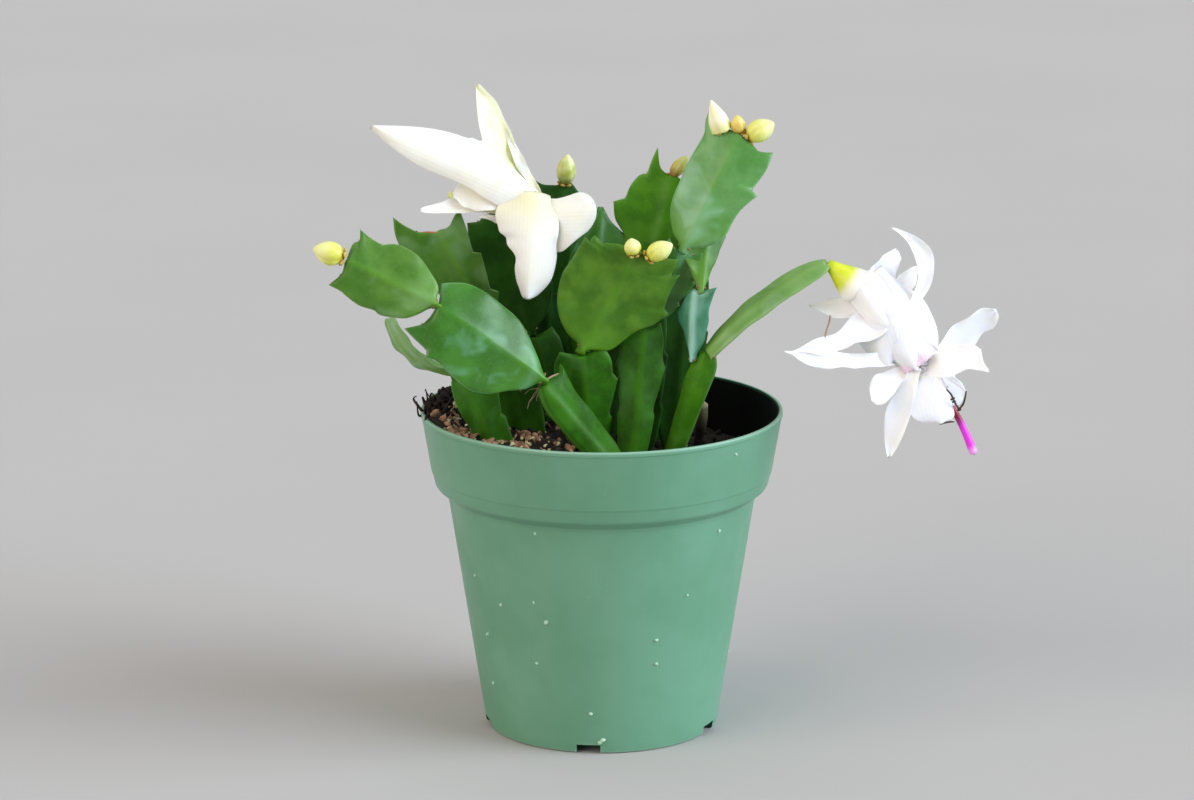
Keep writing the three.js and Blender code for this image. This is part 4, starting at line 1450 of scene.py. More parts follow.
PADS = (
    Segment(
        "front_left_pad", (-17.3, -38.6, 115.2), (-47.3, -42, 137.3), (0.15, -0.9, 0.4), Skin.BLUE, bow=1.5,
        cup=-1.2,
        left=(
            (0, 1.6), (0.05, 5), (0.17, 8.6), (0.28, 12.4), (0.38, 14.4), (0.48, 15.2), (0.62, 14.5),
            (0.76, 13.4), (0.86, 14.1, TIP), (0.89, 12.2, NOTCH), (0.98, 11.5), (1.12, 10.5, TIP),
            (1.02, 6.6, NOTCH), (1, 3.4), (1, 1.2),
        ),
        right=(
            (0, 1.4), (0.05, 2.8), (0.13, 5.2), (0.26, 8.2), (0.42, 10.5), (0.56, 11.3), (0.74, 11.5),
            (0.88, 11), (0.98, 9), (1.06, 6.6, TIP), (1.03, 3.8, NOTCH), (1, 1.2),
        ),
    ),
    Segment(
        "front_left_tip_pad", (-47.8, -42.1, 137.9), (-73.4, -40, 150.6), (0, -0.9, 0.35), bow=-1, cup=-0.8,
        left=(
            (0, 1.2), (0.05, 2.2), (0.11, 4.7), (0.2, 7.3), (0.33, 8.8), (0.45, 9.7), (0.52, 9.3),
            (0.66, 9.9), (0.81, 9.4), (0.9, 8.8), (1.03, 8.7, TIP), (0.97, 4.6, NOTCH), (0.97, 3), (0.99, 1),
        ),
        right=(
            (0, 1.2), (0.05, 5), (0.19, 7.9), (0.35, 10.4), (0.5, 11), (0.62, 10.7), (0.74, 8.6, NOTCH),
            (0.88, 9), (1, 9.8, TIP), (0.95, 6.8, NOTCH), (1, 5), (0.99, 1),
        ),
    ),
    Segment(
        "right_arching_pad", (32, -18.6, 118.6), (65.9, -19, 144.8), (-0.52, -0.5, 0.69), width=9.8,
        side=SLENDER_SIDE, bow=2.8, cup=0.3, ruffle=0.15, neck=1.4, wax=BACKLIT,
    ),
    Segment(
        "right_inner_pad", (26.6, -18.4, 116.2), (27.4, -22, 138), (-0.4, -0.85, 0.3), Skin.BLUE, cup=-1,
        neck=1, wax=PAINTED_SHEEN,
        left=((0, 0.9), (0.08, 1.3), (0.26, 3.3), (0.49, 5.4), (0.6, 6.2, TIP), (0.7, 5), (0.84, 3.6),
              (0.96, 1.9), (0.98, 0.8)),
        right=((0, 0.9), (0.09, 1.2), (0.28, 3), (0.54, 4), (0.78, 4.3), (0.94, 5.2), (1.08, 6.5, TIP),
               (0.99, 2.2), (0.98, 0.8)),
    ),
    Segment(
        "right_upper_pad", (28.9, -21.6, 138.3), (31, -10, 156), (0.3, -0.9, 0.1), cup=0.4,
        left=((0, 1.2), (0.21, 4.3), (0.43, 7.1), (0.75, 8.6), (0.98, 7), (1, 1.5)),
        right=((0, 1), (0.2, 2.2), (0.46, 3.9), (0.9, 6.2), (1.02, 5), (1, 1.5)),
    ),
    Segment(
        "centre_pad", (-5.5, -24.4, 121.2), (11.5, -25, 151.5), (0.05, -1, -0.05), Skin.DARK, bow=-1.2,
        cup=-0.8,
        left=(
            (0, 1.6), (0.03, 5.3), (0.11, 9.6), (0.25, 13.4), (0.46, 15.8), (0.59, 15.5), (0.74, 15.3),
            (0.83, 15.5, TIP), (0.81, 13.8, NOTCH), (0.88, 13.3, TIP), (0.84, 11, NOTCH), (0.9, 7),
            (0.93, 3.3), (0.95, 1.2),
        ),
        right=(
            (0, 2), (0.07, 7.2), (0.18, 9.6), (0.33, 11.8), (0.43, 15), (0.52, 16.6), (0.58, 17.5, TIP),
            (0.6, 15.6, NOTCH), (0.68, 14.8), (0.77, 14.4), (0.92, 14.4, TIP), (0.88, 12.4, NOTCH),
            (0.96, 12), (1.04, 11.4, TIP), (1.0, 8.6, NOTCH), (0.96, 5), (0.95, 1.2),
        ),
    ),
    Segment(
        "centre_back_pad", (-4.5, -22, 121.3), (-0.6, -6, 156.4), (0.1, -0.95, 0.3), Skin.BLUE, cup=0.5,
        left=(
            (0, 1.4), (0.1, 4), (0.22, 6.4), (0.4, 8.6, TIP), (0.43, 7.3, NOTCH), (0.6, 7.9), (0.78, 5.9),
            (0.86, 4), (0.92, 2.5), (1.02, 1.5), (1.07, 0.8, TIP),
        ),
        right=(
            (0, 1.4), (0.1, 4), (0.22, 6.8), (0.4, 9), (0.55, 10.2, TIP), (0.58, 9, NOTCH), (0.75, 9.8),
            (0.87, 8.6, TIP), (0.96, 3.8), (1.03, 1.6), (1.07, 0.6, TIP),
        ),
    ),
    Segment(
        "tall_middle_pad", (12.8, -16.4, 127.6), (24, -19, 149.3), (0.2, -0.95, 0.1), Skin.BLUE, width=15,
    ),
    Segment(
        "tall_right_pad", (24.1, -19.6, 150), (41, -14, 184), (-0.15, -0.95, 0.25), Skin.BLUE, bow=1.5,
        cup=-1.2, wax=LIT_PALE,
        left=(
            (0, 1.8), (0.05, 5), (0.16, 8), (0.28, 9.4), (0.41, 9.8), (0.55, 10), (0.72, 9.8), (0.84, 9.7),
            (0.93, 10.9), (1.08, 11.9, TIP), (0.99, 10.2), (0.91, 7.8, NOTCH), (0.95, 5), (0.95, 2.7),
            (0.95, 1.2),
        ),
        right=(
            (0, 1.8), (0.05, 4.8), (0.13, 7.8), (0.23, 9.4), (0.31, 9.4), (0.42, 9.9), (0.52, 11.4),
            (0.59, 12.6, TIP), (0.61, 10.3, NOTCH), (0.7, 11), (0.81, 11.6), (0.94, 11, TIP),
            (0.88, 8.2, NOTCH), (0.92, 5), (0.95, 1.2),
        ),
    ),
    Segment(
        "tall_left_pad", (11.8, -14.6, 127.8), (21.3, -3, 169.5), (-0.1, -0.95, 0.2), bow=1, cup=0.6,
        wax=LIT_GREEN,
        left=(
            (0, 1.4), (0.1, 5), (0.25, 8.6), (0.4, 10.2), (0.52, 10.6), (0.6, 13.8), (0.71, 15.4, TIP),
            (0.75, 12.2, NOTCH), (0.84, 11.6), (0.92, 9.7), (0.94, 7.5, NOTCH), (1.04, 7), (1.13, 6.2, TIP),
            (1, 4.2), (0.96, 1.4),
        ),
        right=(
            (0, 1.4), (0.12, 5.5), (0.3, 10.5, TIP), (0.33, 8.8, NOTCH), (0.5, 11.2), (0.63, 13, TIP),
            (0.66, 10.6, NOTCH), (0.8, 10.8), (0.9, 10.5, TIP), (0.87, 7, NOTCH), (0.93, 3.5), (0.96, 1.4),
        ),
    ),
    Segment(
        "left_curved_pad", (-44, -21, 113.4), (-61.5, -22, 129.5), (-0.75, -0.45, -0.5), width=14,
        side=SLENDER_SIDE, bow=4, cup=0.5, neck=5, wax=BACKLIT,
    ),
    Segment(
        "upper_left_pad", (-31.5, -9.2, 122), (-48.6, -14, 155), (-0.1, -0.95, 0.2), bow=1, cup=0.7,
        left=(
            (0, 1.4), (0.12, 5.2), (0.3, 8.6), (0.42, 9.8, TIP), (0.45, 8.2, NOTCH), (0.6, 9.4), (0.8, 11.4),
            (1.04, 11.9), (1.22, 9.6, TIP), (1.12, 7.8), (1.03, 5.6, NOTCH), (0.98, 2.3), (0.96, 1),
        ),
        right=(
            (0, 1.4), (0.08, 3), (0.16, 3.6), (0.24, 5.6), (0.3, 7.2, TIP), (0.36, 5.4, NOTCH), (0.48, 6.6),
            (0.65, 8.1, TIP), (0.69, 6.2, NOTCH), (0.85, 7.6), (1.04, 8.8, TIP), (1, 6), (0.94, 3.4, NOTCH),
            (0.96, 1),
        ),
    ),
    Segment(
        "flower_pad", (-20.8, 4.1, 120.1), (-30, 2, 157.5), (-0.2, -0.97, 0.1), Skin.DARK, cup=0.5,
        wax=SHADED,
        left=(
            (0, 1.4), (0.08, 5), (0.18, 8.6), (0.34, 10.8, TIP), (0.37, 9.6, NOTCH), (0.5, 11.4),
            (0.64, 12.8, TIP), (0.67, 11.2, NOTCH), (0.8, 11.6), (0.93, 11, TIP), (0.92, 7.6, NOTCH),
            (0.97, 4.5), (0.96, 1.2),
        ),
        right=widened(BROAD_SIDE, 10.8),
    ),
    Segment(
        "top_pad", (-7.2, 10.2, 122.1), (-12.5, 14, 162), (0.2, -0.95, 0.1), Skin.DARK, cup=0.5, wax=SHADED,
        left=(
            (0, 2), (0.06, 6), (0.14, 8.8), (0.3, 10.6, TIP), (0.33, 9.2, NOTCH), (0.52, 10),
            (0.68, 10.6, TIP), (0.71, 8.8, NOTCH), (0.88, 9.4), (1.07, 7.8, TIP), (1.02, 5), (1, 1.2),
        ),
        right=(
            (0, 2), (0.06, 6), (0.14, 8.6), (0.3, 10, TIP), (0.33, 8.8, NOTCH), (0.52, 9), (0.66, 9, TIP),
            (0.7, 7.4, NOTCH), (0.86, 6.6), (0.93, 5.2), (1, 3.4), (1, 1.2),
        ),
    ),
    Segment(
        "back_right_pad", (20, 22.5, 112.7), (16, 30, 145), (0.4, 0.9, 0.2), width=20, bow=1.5, twist=8,
    ),
    Segment("back_pad", (0, 32.5, 112.7), (-8, 42, 139), (0.1, 0.9, 0.3), width=20, bow=1.5, twist=-6),
    Segment(
        "back_left_pad", (-28.2, 25.5, 112.6), (-38, 34, 137), (-0.5, 0.8, 0.3), width=18, bow=1.5, twist=5,
    ),
    # Shoots hidden inside the plant, in the painted shade skin.
    *(
        Segment(f"inner_{name}_shoot", base, apex, (0.1, -1, 0.1), Skin.DARK, width, wax=SHADED, node=False)
        for name, base, apex, width in (
            ("left", (-15.5, 7, 86), (-16.5, 9, 131), 14), ("right", (3, 2, 83), (5, 3, 128), 15),
            ("low", (-22, -3, 88), (-23.5, -4, 108), 15), ("side", (21, -4, 80), (25.8, -5, 142), 14),
            ("middle", (11.5, -7, 82), (13.5, -7, 131), 13),
        )
    ),
)


@dataclass
class Stems:
    """All the stem segments, with the cork ring at each joint and the wool and bristles in each notch."""

    segments: tuple[Segment, ...] = (*STEMS, *PADS)
    wool_size: float = 0.3
    bristle_length: float = 0.8
    ring_radius: float = 0.3
    bristle_radii: Span = (0.09, 0.03)
    # Where new buds are breaking as a rusty line along an apex: the line's two ends.
    breaking: tuple[tuple[Vec, Vec], ...] = (
        ((-54.8, -14.3, 152.5), (-47.8, -14.3, 153)), ((-4.6, -7.5, 153.4), (-2.6, -7.3, 154)),
    )
    breaking_radii: Span = (0.5, 0.4)
    # A line of dried skin on the apex of the front left stem.
    dried: tuple[Vec, ...] = ((-16.6, -37.2, 114), (-14.6, -35.2, 114.9), (-12.6, -33.2, 115.3))
    dried_radii: Span = (0.34, 0.22)
    # Thin curled aerial roots hang from the front left segment's joint, each with its end this far from it.
    aerial_base: Vec = (-17.6, -37, 113.4)
    aerial_ends: tuple[Vec, ...] = (
        (-4.5, -0.5, -3.2), (-3.2, 0.6, -5.5), (-1.2, -1.5, -5.2), (-6.2, 0.2, -2.2), (-3.4, -1.2, -7.2),
    )
    aerial_radius: float = 0.11
    # How far along an aerial root its stops lie, and how far each of them strays.
    aerial_stops: tuple[float, ...] = (0, 0.35, 0.7, 1)
    aerial_curl: tuple[float, ...] = (0, 0.6, 0.6, 0.3)

    def build(self) -> None:
        """Places each segment, then all the wool, bristles and cork as a piece each."""
        wool, bristles, cork = [], [], []
        rng = np.random.default_rng(21)
        for segment in self.segments:
            blade = segment.blade()
            skin = segment.finish()
            blade.shape().piece(f"{segment.name}_segment", skin, segment.skin.value,
                                [segment.name] if segment.node else [])
            for spot, away in blade.notches():
                tuft, hairs = self.areole(spot, away, unit(np.subtract(segment.apex, segment.base)), rng)
                wool.append(tuft)
                bristles += hairs
            if segment.skin is not Skin.OLD:
                cork.append(self.joint(segment, rng))
        lines = []
        for start, end in self.breaking:
            middle = tuple((np.array(start) + end) / 2 + [0, 0, 0.3])
            lines.append(Rod((start, middle, end), *self.breaking_radii, 10, 6).shape())
        Shape.joined(lines).piece("breaking_buds", BREAKING_BUD, "bud_orange")
        threads = [Rod(self.dried, *self.dried_radii, 8, 6).shape()]
        for reach in self.aerial_ends:
            stops = [np.array(self.aerial_base) + np.array(reach) * share for share in self.aerial_stops]
            curl = rng.normal(size=(4, 3)) * np.array(self.aerial_curl)[:, None]
            path = tuple(tuple(stop + shift) for stop, shift in zip(stops, curl))
            threads.append(Rod(path, self.aerial_radius, 0.5 * self.aerial_radius, 6, 8).shape())
        Shape.joined(threads).piece("aerial_roots", DRY_SKIN, "stem_base")
        Shape.joined(wool).piece("areole_wool_tufts", WOOL, "bud_orange")
        Shape.joined(bristles).piece("areole_bristles", ROOT, "stem_base")
        Shape.joined(cork).piece("joint_cork_rings", CORK, "stem_base")

    def areole(self, spot: Array, away: Array, along: Array, rng: Dice) -> tuple[Shape, list[Shape]]:
        """Makes the tuft of wool in one notch and the bristles that stand in it.

        Args:
            spot: The notch's point.
            away: The direction away from the midrib there.
            along: The direction from the segment's base to its apex.
            rng: The source of their unevenness.

        Returns:
            The tuft and the bristles.
        """
        size = self.wool_size * rng.uniform(0.8, 1.2)
        hairs = []
        for _ in range(3):
            lean = unit(away + along * rng.uniform(0.3, 1.0) + rng.normal(size=3) * 0.3)
            tip = spot + lean * self.bristle_length * rng.uniform(0.6, 1.2)
            middle = (spot + tip) / 2 + rng.normal(size=3) * 0.12
            hairs.append(Rod((tuple(spot), tuple(middle), tuple(tip)), *self.bristle_radii, 5, 3).shape())
        return pebble(spot, (size, size, size * 0.8), rng), hairs

    def joint(self, segment: Segment, rng: Dice) -> Shape:
        """Makes the thin uneven ring of cork round the foot of one segment.

        Args:
            segment: The segment that grows out of the joint.
            rng: The source of the ring's unevenness.

        Returns:
            A closed ring.
        """
        base, apex = np.array(segment.base), np.array(segment.apex)
        up = unit(apex - base)
        out = unit(np.array(segment.face) - up * np.dot(segment.face, up))
        wide = np.cross(up, out)
        outline = segment.left or widened(segment.side, segment.width / 2)
        count, sides = 28, 8
        turns = np.linspace(0, 2 * math.pi, count, endpoint=False)
        way = wide * np.cos(turns)[:, None] * (outline[0][1] + 0.1) + out * np.sin(turns)[:, None] * 0.95
        outward = unit(way)
        thick = self.ring_radius * rng.uniform(0.7, 1.3, count)
        round_it = np.linspace(0, 2 * math.pi, sides, endpoint=False)
        across = outward[:, None] * np.cos(round_it)[:, None] + up * np.sin(round_it)[:, None]
        points = (base + way)[:, None] + across * thick[:, None, None]
        faces = []
        for i in range(count):
            k = (i + 1) % count
            for j in range(sides):
                m = (j + 1) % sides
                faces.append((i * sides + j, k * sides + j, k * sides + m, i * sides + m))
        return Shape(points.reshape(-1, 3), faces)


EGG: Outline = (
    (0, 0), (0.01, 0.4), (0.1, 0.7), (0.25, 0.93), (0.42, 1), (0.6, 0.92), (0.76, 0.7), (0.89, 0.42),
    (0.97, 0.18), (1, 0),
)
TOOTH: Outline = (
    (0, 0), (0.01, 0.9), (0.12, 1), (0.3, 0.96), (0.5, 0.8), (0.7, 0.54), (0.88, 0.25), (0.97, 0.1), (1, 0),
)


@dataclass(frozen=True)
class Bud:
    """One bud: its seat on the segment, its tip, its greatest width, its skin and its profile."""

    name: str
    base: Vec
    tip: Vec
    width: float
    skin: BudSkin
    slot: Tissue
    profile: Outline = EGG
    node: bool = True


YELLOW_BUD, ORANGE_BUD = TISSUES[Tissue.YELLOW], TISSUES[Tissue.ORANGE]
BUDS = (
    Bud("left_yellow_bud", (-74.1, -40, 151.2), (-82.6, -41, 154), 7, YELLOW_BUD, Tissue.YELLOW),
    Bud("centre_small_bud", (9.3, -27, 149.4), (8.4, -28.5, 154.3), 5, YELLOW_BUD, Tissue.YELLOW),
    Bud("centre_yellow_bud", (13.4, -27, 148.6), (20.4, -29, 152.8), 6, YELLOW_BUD, Tissue.YELLOW),
    Bud("tall_cream_bud", (34.9, -14, 183.2), (31.6, -15, 192.5), 6.2, PALE_BUD, Tissue.CREAM, TOOTH),
    Bud("tall_orange_bud", (39.7, -14, 182.6), (39.3, -15, 188), 4.4, ORANGE_BUD, Tissue.ORANGE),
    Bud("tall_yellow_bud", (42.4, -14, 181.4), (50, -15, 185.8), 7, YELLOW_BUD, Tissue.YELLOW),
    Bud("top_bud", (-10.9, 14, 162.2), (-10.1, 13, 171.4), 5.9, GREEN_BUD, Tissue.YELLOW),
    Bud("tall_left_bud", (20.6, -3, 167.8), (25.2, -5, 174.2), 4.2, RUSTY_BUD, Tissue.ORANGE),
    Bud("wing_bud", (-42.2, -13, 162.1), (-44.7, -13, 165), 2.9, GREEN_BUD, Tissue.YELLOW, node=False),
)


@dataclass
class Buds:
    """The buds on the segments' apices, each with its scales and a collar of dry bracts."""

    buds: tuple[Bud, ...] = BUDS
    scales: int = 4
    seam_depth: float = 0.14
    swirl: float = 2.6
    bracts: int = 5
    # In shares of the bud's width: a bract's half width, and how far its foot and tip are off the bud's line.
    bract_half: float = 0.14
    foot_off: float = 0.14
    tip_off: float = 0.39

    def build(self) -> None:
        """Places each bud, then every collar as one piece."""
        bracts = []
        rng = np.random.default_rng(31)
        for bud in self.buds:
            profile = widened(bud.profile, bud.width / 2)
            body = Turned(bud.base, bud.tip, profile, self.scales, self.seam_depth, self.swirl, segments=40)
            body.shape().piece(f"{bud.name}_scales", bud.skin, bud.slot.value, [bud.name] if bud.node else [])
            bracts += self.collar(bud, rng)
        Shape.joined(bracts).piece("bud_bracts", BRACT, "bud_orange")

    def collar(self, bud: Bud, rng: Dice) -> list[Shape]:
        """Makes the small bracts that hug the foot of one bud.

        Args:
            bud: The bud.
            rng: The source of their unevenness.

        Returns:
            The bracts, each a closed shape.
        """
        base, tip = np.array(bud.base), np.array(bud.tip)
        up = unit(tip - base)
        first, second = crossways(up, (0.2, 0.9, 0.3))
        made = []
        side = widened(PETAL_SIDE, bud.width * self.bract_half)
        for i in range(self.bracts):
            turn = 2 * math.pi * i / self.bracts + rng.uniform(-0.2, 0.2)
            away = first * math.cos(turn) + second * math.sin(turn)
            foot = base + away * bud.width * self.foot_off - up * 0.3
            end = base + away * bud.width * self.tip_off + up * bud.width * rng.uniform(0.06, 0.12)
            bract = Blade(
                tuple(foot), tuple(end), tuple(away - up), side, side, PETAL_FLESH, bow=0.3, lumps=0.05,
                neck=0.3, rows=16, seed=i,
            )
            made.append(bract.shape())
        return made


@dataclass(frozen=True)
class Tepal:
    """One petal-like tepal: its seat, its tip, the way it faces and its outline."""

    name: str
    base: Vec
    tip: Vec
    face: Vec
    width: float = 0.0
    left: Outline = ()
    right: Outline = ()
    bow: float = 0.0
    cup: float = 1.0
    ruffle: float = 0.5
    neck: float = 2.0
    side_bow: float = 0.0
    node: bool = True
    tissue: PetalTissue | None = None

    def shape(self) -> Shape:
        """Builds the tepal as a thin cupped blade.

        Returns:
            The blade's closed shape.
        """
        plain = widened(PETAL_SIDE, self.width / 2)
        return Blade(
            self.base, self.tip, self.face, self.left or plain, self.right or plain, PETAL_FLESH, self.bow,
            self.cup, self.ruffle, waves=2.0, lumps=0.25, neck=self.neck, rows=46, seed=seed_of(self.name),
            side_bow=self.side_bow,
        ).shape()

    def build(self, kind: Tissue) -> None:
        """Places the tepal, in its flower's kind of tissue unless its own is unusual."""
        nodes = [self.name] if self.node else []
        self.shape().piece(f"{self.name}_tissue", self.tissue or TISSUES[kind], kind.value, nodes)


LEFT_TEPALS = (
    Tepal(
        "left_flower_left_tepal", (-19.7, -16.4, 163.6), (-66.8, -16, 185.2), (0.1, -0.9, 0.45), bow=0.2,
        cup=-1.6, ruffle=0.3, neck=2.6, tissue=CREAM_BLADE,
        left=((0, 2.4), (0.05, 4.2), (0.15, 6), (0.26, 5.6), (0.37, 4.8), (0.5, 4.7), (0.64, 5), (0.77, 4.1),
              (0.88, 2.7), (0.96, 1.4), (1, 0.5)),
        right=((0, 2.4), (0.05, 3.8), (0.13, 5.4), (0.23, 7.2), (0.33, 9.5), (0.39, 10.6, TIP), (0.41, 9.6),
               (0.45, 9.7), (0.48, 8.9), (0.56, 8.4), (0.66, 7.3), (0.78, 5.4), (0.88, 3.4), (0.96, 1.5),
               (1, 0.5)),
    ),
    Tepal(
        "left_flower_upper_tepal", (-21.2, -4, 165.1), (-36.9, -2, 194.6), (0.4, -0.85, 0.3), bow=1, cup=1.4,
        tissue=PRIMROSE,
        left=((0, 2.6), (0.1, 4.6), (0.27, 7.2), (0.4, 8.1), (0.54, 7.8), (0.68, 6.4), (0.8, 4.3),
              (0.92, 1.9), (1, 0.3)),
        right=((0, 1.4), (0.14, 0.9), (0.31, 0.8), (0.46, 1.4), (0.6, 1.9), (0.77, 2.6), (0.9, 1.4),
               (1, 0.3)),
    ),
    Tepal(
        "left_flower_low_left_tepal", (-27.9, -14, 160.8), (-52.8, -18, 160.2), (0, -0.8, 0.6), bow=-0.5,
        cup=1,
        left=((0, 2.8), (0.23, 2.2), (0.44, 1.4), (0.63, 1.4), (0.8, 1.6), (0.93, 1.1), (1.01, 0.3)),
        right=((0, 3), (0.2, 4.6), (0.4, 5.2), (0.52, 4.6), (0.62, 3.4), (0.73, 2.4), (0.87, 1.7),
               (0.95, 1.1), (1.01, 0.3)),
    ),
    Tepal(
        "left_flower_tongue", (-19.8, -17.6, 163.4), (-21.5, -26, 135.6), (0.1, -0.9, 0.4), bow=2, cup=-2.2,
        neck=2.6, ruffle=0.7,
        left=((0, 5.6), (0.12, 7.4), (0.29, 7.8), (0.42, 7.4), (0.54, 7.8), (0.67, 7.4), (0.8, 6.4),
              (0.9, 4.6), (0.97, 2.8), (1, 1.4)),
        right=((0, 9), (0.08, 10.4), (0.17, 10.9), (0.26, 10), (0.33, 9.3), (0.38, 7.4), (0.46, 6.9),
               (0.54, 5), (0.6, 4.2), (0.7, 4.3), (0.82, 3.6), (0.91, 2.5), (0.97, 1.8), (1, 1.2)),
    ),
    Tepal(
        "left_flower_right_tepal", (-18.3, -14, 158.7), (-1.7, -18, 160.6), (0.1, -0.9, 0.35), bow=1, cup=-1,
        neck=3, tissue=CREAM_BLADE,
        left=((0, 6), (0.12, 4.9), (0.28, 4.1), (0.42, 4.5), (0.56, 5.1), (0.75, 5.5), (0.9, 4.4),
              (0.98, 2.5), (1.01, 0.8)),
        right=((0, 9), (0.15, 11), (0.36, 11.6), (0.56, 9.8), (0.72, 7.6), (0.88, 5.4), (0.98, 2.8),
               (1.01, 0.8)),
    ),
    Tepal(
        "left_flower_under_tepal", (-27.5, -15, 156), (-35.6, -17, 158.4), (0, -0.9, 0.4), bow=0.3, neck=1,
        left=((0, 1.4), (0.4, 1), (0.75, 0.5), (1, 0.2)),
        right=((0, 1.6), (0.4, 1.4), (0.6, 1), (0.8, 1.1), (1, 0.2)),
    ),
    Tepal(
        "left_flower_crest_tepal", (-19.5, -5, 164.6), (-28.2, -3.4, 182), (0.3, -0.9, 0.3), bow=0.3, cup=0.6,
        node=False,
        left=((0, 1.6), (0.2, 2), (0.45, 2.5), (0.68, 2.1), (0.88, 1.1), (1, 0.3)),
        right=((0, 0.9), (0.3, 0.6), (0.6, 0.5), (0.88, 0.5), (1, 0.3)),
    ),
    Tepal(
        "left_flower_wing_tepal", (-23.1, -15, 163.7), (-43.4, -15, 164.4), (0, -0.9, 0.4), bow=0.6, cup=0.8,
        ruffle=0.7, neck=2, node=False, tissue=CREAM_BLADE,
        left=((0, 3), (0.23, 4), (0.5, 4.7), (0.66, 4.8), (0.76, 3.9), (0.84, 3.6), (0.93, 1.7), (1, 0.5)),
        right=((0, 4), (0.24, 6.6), (0.5, 6.6), (0.77, 5.4), (0.9, 3.6), (0.97, 1.6), (1, 0.5)),
    ),
)


def extra_tepal(
    name: str, base: Vec, tip: Vec, face: Vec, width: float, bow: float, cup: float, neck: float
) -> Tepal:
    """Gives one of the plain tepals that fill the right flower out and stand for no node."""
    full_name = f"right_flower_{name}_tepal"
    return Tepal(full_name, base, tip, face, width, bow=bow, cup=cup, neck=neck, node=False)


